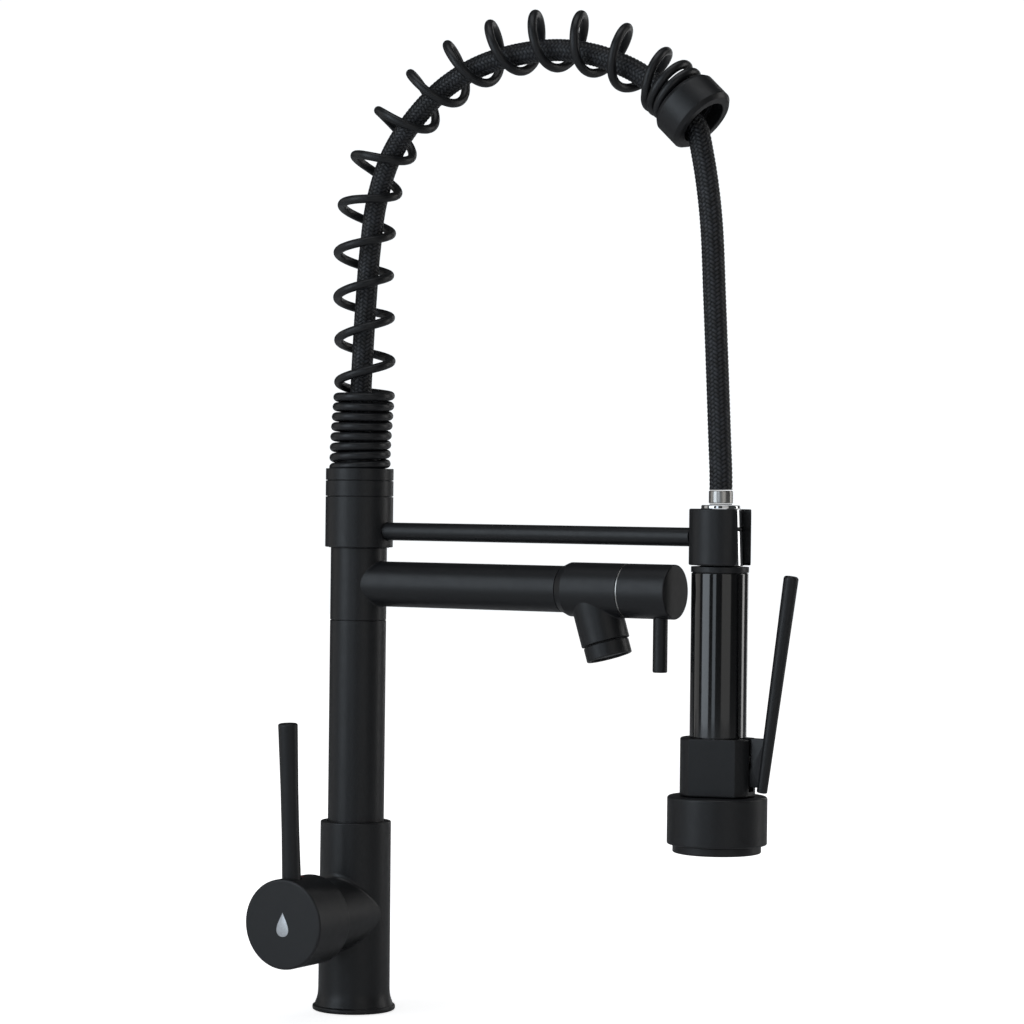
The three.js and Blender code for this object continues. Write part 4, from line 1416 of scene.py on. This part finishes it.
@dataclass
class PullDownEnd:
    """What hangs from the spring: end collar, hose to the spray, ferrule, washer, docking neck.

    Attributes:
        collar: Radius of the end collar.
        half: Half its length.
        dip: Its slant below level, in degrees.
        middle: Its middle.
        hose: Thickness of the hose, in metres. Not used.
        cone_foot: Height where the neck's docking cone starts.
        cone_top: Height where it ends.
        cone_end: Radius at its top.
    """

    collar: float = 19.4
    half: float = 9.2
    dip: float = 43.8
    middle: tuple[float, float, float] = (210.6, 0.0, 501.6)
    hose: float = 0.0124
    cone_foot: float = 257.8
    cone_top: float = 287.9
    cone_end: float = 11.2

    def build(self) -> None:
        """All pieces that ride on the pulled-down end."""
        slope = math.radians(self.dip)
        place = Place(self.middle, (math.cos(slope), 0.0, -math.sin(slope)), (0.0, 1.0, 0.0))
        r, h = self.collar, self.half
        barrel = ringed([
            [11.6, -h - 8, 0.4], [11.6, -h, 0.3], [r - 1.4, -h, 0.5], [r, -h + 2.2, 0.6], [r, h - 2.0, 0.6],
            [r - 2.0, h, 0.4], [13.2, h, 0.4], [13.2, 1.5, 0.3], [10.4, 1.5, 0.3], [10.4, -h - 8, 0.3],
        ])
        fit(turned(barrel, place=place), "end_collar_shell", "pulldown", SATIN, "end_collar")
        sleeve = Braid().mesh("drop_hose", DROP_ROUTE, 760, 96)
        hose = fit(sleeve, "drop_hose", "pulldown", BRAID, "hose_drop")
        self.build_neck()

    def build_neck(self) -> None:
        """Crimped ferrule, washer and the chrome neck that docks in the clip."""
        axis = Place((float(centre("spray_grip")[0]), 0.0, 0.0))
        foot, top = heights("hose_ferrule")
        r = half_width("hose_ferrule")
        ferrule = ringed([[r, foot, 0.5], [r, top, 0.7], [4.2, top, 0.2], [4.2, foot, 0.2]], 4)
        fit(turned(ferrule, SMALL, axis), "crimped_ferrule", "pulldown", STEEL, "hose_ferrule")
        washer = tube_ring(4.2, half_width("swivel_washer"), *heights("swivel_washer"), 0.1)
        fit(turned(washer, SMALL, axis), "swivel_seal", "pulldown", RUBBER, "swivel_washer")
        low, high = heights("docking_neck")
        wide = half_width("docking_neck")
        groove = float(centre("neck_oring")[2])
        slope = (self.cone_end - wide) / (self.cone_top - self.cone_foot)
        upper, lower = (wide + slope * (groove + s - self.cone_foot) for s in (1, -1))
        neck = ringed([
            [6.5, low, 0.2], [6.5, self.cone_foot, 0.2], [wide, self.cone_foot, 0.4],
            [lower, groove - 1, 0.15], [10.2, groove - 1, 0.1], [10.2, groove + 1, 0.1],
            [upper, groove + 1, 0.15], [self.cone_end, self.cone_top, 0.3], [10.4, 288.5, 0.2],
            [10.4, high, 0.6], [4.5, high, 0.2], [4.5, low, 0.2],
        ], 4)
        fit(turned(neck, place=axis), "dock_neck", "pulldown", CHROME, "docking_neck")


@dataclass
class SprayHead:
    """The spray: top ring, glossy grip, block with two flats, skirt and face with its nozzles.

    Attributes:
        flat: Distance of the block's flats from its axis.
        flat_angle: Direction of the flats' faces off +X, in degrees.
        soft: Rounding of the skirt's top.
    """

    flat: float = 15.9
    flat_angle: float = 75.0
    soft: float = 1.3

    def build(self) -> None:
        """All the spray's outer pieces."""
        x = float(centre("spray_grip")[0])
        axis = Place((x, 0.0, 0.0))
        radius = half_width("spray_grip")
        foot, top = heights("spray_grip")
        ring = stepped(7.2, half_width("spray_top_ring"), *heights("spray_top_ring"))
        fit(turned(ring, place=axis), "grip_top_band", "spray_head", SATIN, "spray_top_ring")
        shell = ringed([
            [radius, foot, 0.3], [radius, top, 0.5], [9.4, top, 0.2], [9.4, top - 3], [13, top - 3],
            *spigot(13, radius, foot),
        ])
        fit(turned(shell, 160, axis), "grip_tube", "spray_head", GLOSS, "spray_grip")
        self.build_block(axis)
        self.build_face(axis)

    def outline(self, radius: float, sides: int = 180) -> tuple[np.ndarray, np.ndarray]:
        """The block's outline: at each angle the least of the radius and both flats' distances.

        Args:
            radius: Full radius of the block.
            sides: Steps around, before the four edges are added.

        Returns:
            Angles and reaches.
        """
        half = math.acos(self.flat / radius)
        edges = [s * math.radians(self.flat_angle) + t * half for s in (-1, 1) for t in (-1, 1)]
        near = np.array([[e - 0.02, e, e + 0.02] for e in edges]).ravel()
        angle = np.sort(np.mod(np.concatenate([2 * np.pi * np.arange(sides) / sides, near]), 2 * np.pi))
        reach = np.full(angle.shape, radius)
        for side in (-1, 1):
            off = np.cos(angle - side * math.radians(self.flat_angle))
            reach = np.where(off > 0.3, np.minimum(reach, self.flat / np.maximum(off, 0.3)), reach)
        return angle, reach

    def build_block(self, axis: Place) -> None:
        """The block: its outline carried up with rounded rims, then the lever's slot cut in.

        Args:
            axis: The spray's place.
        """
        low, high = heights("spray_block")
        radius = float(box("spray_block")[1][0]) - axis.origin[0]
        angle, reach = self.outline(radius)
        rim = rounded([
            [6, low], [radius, low, 0.9], [radius, high, 0.9], [9.3, high, 0.2], [9.3, 163.5], [6, 163.5],
            [6, low],
        ])
        rim = evened(rim, 4)[:-1]
        inset = radius - rim[:, :1]
        outer = rim[:, :1] > 13
        span = np.where(outer, reach[None] - inset, np.minimum(rim[:, :1], reach[None]))
        rise = np.broadcast_to(rim[:, 1:], span.shape)
        rows = np.stack([span * np.cos(angle), span * np.sin(angle), rise], -1)
        block = grid(rows, wrap_rows=True).placed(axis)
        x = axis.origin[0]
        slot = brick(np.array([x + 13.5, -3.0, 138.0]), np.array([x + 25.0, 3.0, high + 4]))
        bore = turned(pin(2.5, 4, 15), FINE, spoutward(155.0, x))
        hole = turned(pin(1.35, -6.8, 6.8), FINE, crosswise("lever_pin"))
        fit(carved(block, [slot, bore, hole], "spray_body"), "spray_body", "spray_head", SATIN, "spray_block")

    def build_face(self, axis: Place) -> None:
        """Skirt, face plate and the soft nozzle pad with its rings of nubs.

        Args:
            axis: The spray's place.
        """
        low, high = heights("spray_skirt")
        r = half_width("spray_skirt")
        skirt = ringed([
            [r, low, 0.8], [r, high, self.soft], [8.5, high, 0.2], [8.5, high - 6], [20.4, high - 6],
            [20.4, low, 0.4],
        ], 9)
        fit(turned(skirt, place=axis), "skirt_shell", "spray_head", SATIN, "spray_skirt")
        foot, top = heights("face_plate")
        wide = half_width("face_plate")
        plate = ringed([
            [9, foot + 2.1, 0.2], [21.2, foot + 2.1, 0.3], [21.8, foot, 0.4], [wide, foot + 0.5, 0.7],
            [wide, 108.8, 0.2], [20, 108.8], [20, top], [9, top],
        ])
        fit(turned(plate, place=axis), "face_ring", "spray_head", SATIN, "face_plate")
        pad = turned(pin(8.7, foot + 2.0, heights("nozzle_insert")[1], 0.3), SMALL)
        nub = rounded([[0, 0], [1.05, 0, 0.2], [0.7, -1.6, 0.25], [0, -1.6]], 3, 0.05) + [0, foot + 2.2]
        rings = (
            (0.0, 1, 0.0), (3.2, 6, 0.0), (6.4, 12, 0.0), (12.0, 20, 0.5), (15.6, 26, 0.5), (19.0, 32, 0.5),
        )
        nubs = [
            turned(nub, 12, Place((q * math.cos(t), q * math.sin(t), 0.0)))
            for q, count, shift in rings
            for t in (2 * math.pi * (k + shift) / count for k in range(count))
        ]
        fit(pad.joined(*nubs).placed(axis), "nozzle_pad", "spray_head", NUB, "nozzle_insert")


def brick(low: np.ndarray, high: np.ndarray) -> Shell:
    """A plain box between two corners, used only to cut with."""
    corners = low[:2] + np.array([[0, 0], [1, 0], [1, 1], [0, 1]]) * (high - low)[:2]
    rows = [np.concatenate([corners, np.full((4, 1), z)], -1) for z in (low[2], high[2])]
    return capped(np.stack(rows))


@dataclass
class SprayLever:
    """The long lever beside the spray: a tapered bar with a flat fin that reaches the pivot.

    Attributes:
        x: Place of the bar's foot along X.
        z: Its height.
        lean: Angle of the bar off vertical toward +X, in degrees.
        length: Length of the bar.
        foot: Radius at its foot.
        top: Radius near its top.
        fin: Thickness of the fin.
    """

    x: float = 256.3
    z: float = 137.8
    lean: float = 7.8
    length: float = 116.4
    foot: float = 2.85
    top: float = 4.0
    fin: float = 4.4

    def build(self) -> None:
        """Bar, fin and the pin that they turn on."""
        slope = math.radians(self.lean)
        place = Place((self.x, 0.0, self.z), (math.sin(slope), 0.0, math.cos(slope)))
        bar = rounded([[0, 0], [self.foot, 0, 0.8], [self.top, self.length, 1.5], [0, self.length]])
        corners = ((246, 140.6), (256.2, 140.6), (259.6, 166.6), (250.6, 166.6), (250.2, 150), (245.6, 146))
        outline = ringed([[*corner, 0.7] for corner in corners], 4)
        middle = outline.mean(0)
        away = outline - middle
        half = self.fin / 2
        edge = ((0.5, half), (0.13, half - 0.13), (0.0, half - 0.5))
        rows = []
        for inset, depth in [(i, -d) for i, d in edge] + [(i, d) for i, d in reversed(edge)]:
            loop = middle + away * (1 - inset / np.linalg.norm(away, axis=-1))[:, None]
            rows.append(np.stack([loop[:, 0], np.full(len(loop), depth), loop[:, 1]], -1))
        fin = capped(np.stack(rows)).outward()
        shell = turned(evened(bar, 12), SMALL, place).outward().joined(fin)
        fit(shell, "lever_bar", "lever", SATIN, "spray_lever")
        pivot = turned(pin(1.1, -6.5, 6.5, 0.25), FINE, crosswise("lever_pin"))
        fit(pivot, "pivot_pin", "spray_head", STEEL, "lever_pin")


@dataclass
class InnerWorks:
    """The pieces inside, which keep their CAD shapes and only get their finishes.

    Attributes:
        finishes: Each finish with the CAD nodes that have it.
    """

    finishes: tuple[tuple[Finish, tuple[str, ...]], ...] = (
        (BRASS, ("core_tube", "stem_lever", "valve_cartridge", "valve_spindle", "hose_nipple")),
        (RUBBER, ("cartridge_seal", "core_oring_lower", "core_oring_upper", "neck_oring")),
        (CERAMIC, ("fixed_disc", "moving_disc")),
        (ACETAL, ("cartridge_housing", "cartridge_stem", "column_bush", "collar_bush", "spray_core")),
        (STEEL, ("hub_set_screw", "clip_screw", "valve_plunger")),
    )

    def dress(self, nodes: dict[str, bpy.types.Object]) -> None:
        """Gives every CAD node that is still shown its finish.

        Args:
            nodes: The frame's CAD nodes by name.
        """
        for finish, names in self.finishes:
            for name in names:
                node = nodes[name]
                node.data.materials.clear()
                node.data.materials.append(finish.material())
                LOG.info("%s dressed", name)


# ------------------------------------------------------------------------------- studio


@dataclass(frozen=True)
class SoftBox:
    """A large soft lamp aimed at the faucet.

    Attributes:
        name: Name of the lamp.
        azimuth: Direction from the faucet, in degrees from -Y toward +X.
        elevation: Height angle above level.
        distance: Distance from the faucet, in metres.
        size: Width and height, in metres.
        radiance: Brightness of its face.
        colour: Its colour.
    """

    name: str
    azimuth: float
    elevation: float
    distance: float
    size: tuple[float, float]
    radiance: float
    colour: tuple[float, float, float] = (1.0, 1.0, 1.0)

    def place(self, target: np.ndarray) -> None:
        """Sets the lamp up so that it faces a point, in metres."""
        a, e = math.radians(self.azimuth), math.radians(self.elevation)
        away = np.array([math.sin(a) * math.cos(e), -math.cos(a) * math.cos(e), math.sin(e)])
        lamp = bpy.data.lights.new(self.name, "AREA")
        lamp.shape = "RECTANGLE"
        lamp.size, lamp.size_y = self.size
        lamp.energy = self.radiance * math.pi * self.size[0] * self.size[1]
        lamp.color = self.colour
        side = np.array([math.cos(a), math.sin(a), 0.0])
        up = np.cross(away, side)
        matrix = Matrix.Identity(4)
        for row in range(3):
            matrix[row][:] = (side[row], up[row], away[row], target[row] + away[row] * self.distance)
        obj = bpy.data.objects.new(self.name, lamp)
        obj.matrix_world = matrix
        bpy.context.scene.collection.objects.link(obj)


@dataclass
class Studio:
    """Camera, lamps, floor and surroundings.

    Attributes:
        azimuth: Direction of the camera, in degrees from -Y toward +X.
        pitch: How far it looks down.
        roll: Turn about its line of sight.
        lens: Focal length on a 36 mm sensor.
        distance: Distance to the point it looks at, in millimetres.
        target: That point.
        floor: Radius of the floor, in metres.
        white: Brightness of the backdrop, and of the floor far out.
        boxes: The lamps.
    """

    azimuth: float = 30.27
    pitch: float = 0.3
    roll: float = -0.67
    lens: float = 112.5
    distance: float = 1775.31
    target: tuple[float, float, float] = (100.86, 0.0, 284.93)
    floor: float = 6.0
    white: float = 1.05
    boxes: tuple[SoftBox, ...] = (
        SoftBox("key_left", -29.0, 13.0, 2.2, (1.3, 2.5), 1.8, (0.82, 0.91, 1.0)),
        SoftBox("front_strip", 8.0, 10.0, 2.4, (0.55, 2.4), 1.15, (0.80, 0.90, 1.0)),
        SoftBox("front_wash", 56.0, 12.0, 2.4, (1.6, 2.2), 0.45, (1.0, 0.99, 0.97)),
        SoftBox("right_strip", 137.0, 8.0, 2.2, (0.5, 2.3), 2.0, (1.0, 0.99, 0.98)),
        SoftBox("rim_right", 183.0, 6.0, 2.2, (0.35, 2.2), 1.2, (1.0, 1.0, 1.0)),
        SoftBox("back_left", -76.0, 8.0, 2.2, (1.4, 2.2), 0.4, (1.0, 0.98, 0.95)),
        SoftBox("top_bank", 20.0, 82.0, 2.0, (1.8, 1.4), 1.0, (0.95, 0.97, 1.0)),
    )

    def camera(self) -> None:
        """Places the camera: it looks from the azimuth, a little down, and is rolled a little."""
        az, pitch, roll = (math.radians(v) for v in (self.azimuth, self.pitch, self.roll))
        right = np.array([math.cos(az), math.sin(az), 0.0])
        ahead = np.array([-math.sin(az), math.cos(az), 0.0])
        forward = ahead * math.cos(pitch) - np.array([0.0, 0.0, math.sin(pitch)])
        up = np.cross(right, forward)
        x = right * math.cos(roll) - up * math.sin(roll)
        y = right * math.sin(roll) + up * math.cos(roll)
        at = (np.array(self.target) - self.distance * forward) * MM
        data = bpy.data.cameras.new("camera")
        data.lens, data.sensor_width = self.lens, 36.0
        data.clip_start, data.clip_end = 0.01, 50.0
        obj = bpy.data.objects.new("camera", data)
        matrix = Matrix.Identity(4)
        for row in range(3):
            matrix[row][:] = (x[row], y[row], -forward[row], at[row])
        obj.matrix_world = matrix
        bpy.context.scene.collection.objects.link(obj)
        bpy.context.scene.camera = obj

    def surroundings(self, lit: float = 0.05) -> None:
        """White where it is seen, dim where it lights and reflects, as in a studio with dark flags.

        Args:
            lit: Brightness that falls on the faucet.
        """
        world = bpy.data.worlds.new("studio")
        world.use_nodes = True
        tree = world.node_tree
        background = tree.nodes["Background"]
        background.inputs["Color"].default_value = (0.96, 0.98, 1.0, 1.0)
        path = tree.nodes.new("ShaderNodeLightPath")
        ranged = tree.nodes.new("ShaderNodeMapRange")
        ranged.inputs["To Min"].default_value, ranged.inputs["To Max"].default_value = lit, self.white
        tree.links.new(path.outputs["Is Camera Ray"], ranged.inputs["Value"])
        tree.links.new(ranged.outputs["Result"], background.inputs["Strength"])
        bpy.context.scene.world = world

    def lay_floor(self, near: float = 0.80, reach: tuple[float, float] = (0.05, 0.35)) -> None:
        """A pale round sheet that fades into the backdrop and is clear from below.

        Args:
            near: Part of its brightness, near the faucet, that doesn't come from the lamps.
            reach: Distances from the faucet between which that part grows to full white.
        """
        sides, depth, radii = 96, 0.4, (0.001, 0.3, 1.0, self.floor)
        sheet = np.stack([np.stack([*(r / MM * circle(sides)).T, np.full(sides, -depth)], -1) for r in radii])
        mesh = grid(sheet).mesh("floor")
        nodes = Nodes("pale_floor")
        nodes.feed("Base Color", nodes.mix(nodes.noise(3.0), (0.86, 0.86, 0.87), (0.90, 0.90, 0.90)))
        nodes.set(Roughness=0.9, Specular_IOR_Level=0.1)
        tree = nodes.tree
        away = nodes.node("ShaderNodeVectorMath", operation="LENGTH")
        nodes.link(nodes.coordinates, away.inputs[0])
        glow = nodes.node(
            "ShaderNodeMapRange", From_Min=reach[0], From_Max=reach[1], To_Min=near, To_Max=self.white
        )
        nodes.link(away.outputs["Value"], glow.inputs["Value"])
        glowing = tree.nodes.new("ShaderNodeEmission")
        nodes.link(glow.outputs[0], glowing.inputs["Strength"])
        seen = tree.nodes.new("ShaderNodeLightPath").outputs["Is Camera Ray"]
        clear = tree.nodes.new("ShaderNodeBsdfTransparent")
        side = tree.nodes.new("ShaderNodeNewGeometry").outputs["Backfacing"]
        add = tree.nodes.new("ShaderNodeAddShader")
        lit, sided = (tree.nodes.new("ShaderNodeMixShader") for _ in range(2))
        bare = nodes.shader.outputs[0]
        for source, target in (
            (bare, add.inputs[0]), (glowing.outputs[0], add.inputs[1]),
            (seen, lit.inputs[0]), (bare, lit.inputs[1]), (add.outputs[0], lit.inputs[2]),
            (side, sided.inputs[0]), (clear.outputs[0], sided.inputs[1]), (lit.outputs[0], sided.inputs[2]),
            (sided.outputs[0], tree.nodes["Material Output"].inputs["Surface"]),
        ):
            nodes.link(source, target)
        mesh.materials.append(nodes.material)
        obj = bpy.data.objects.new("floor", mesh)
        bpy.context.scene.collection.objects.link(obj)
        obj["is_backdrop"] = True

    def build(self) -> None:
        """Sets the whole studio up round the middle of the faucet."""
        low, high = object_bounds()
        middle = (np.array(low) + np.array(high)) / 2
        self.camera()
        self.surroundings()
        self.lay_floor()
        for lamp in self.boxes:
            lamp.place(middle)
        bpy.context.scene.view_settings.view_transform = "Standard"


def main() -> None:
    """Loads the frame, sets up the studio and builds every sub-assembly."""
    logging.basicConfig(level=logging.INFO, format="%(name)s: %(message)s")
    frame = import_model()
    Studio().build()
    assemblies: list[Callable[[], None]] = [
        SpringArch().build, PullDownEnd().build, Base().build, Column().build, MixerHandle().build,
        Spout().build, ShutOffKnob().build, HolderArm().build, SprayHead().build, SprayLever().build,
    ]
    for build in assemblies:
        build()
    InnerWorks().dress(frame["nodes"])
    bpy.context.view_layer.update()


if __name__ == "__main__":
    main()
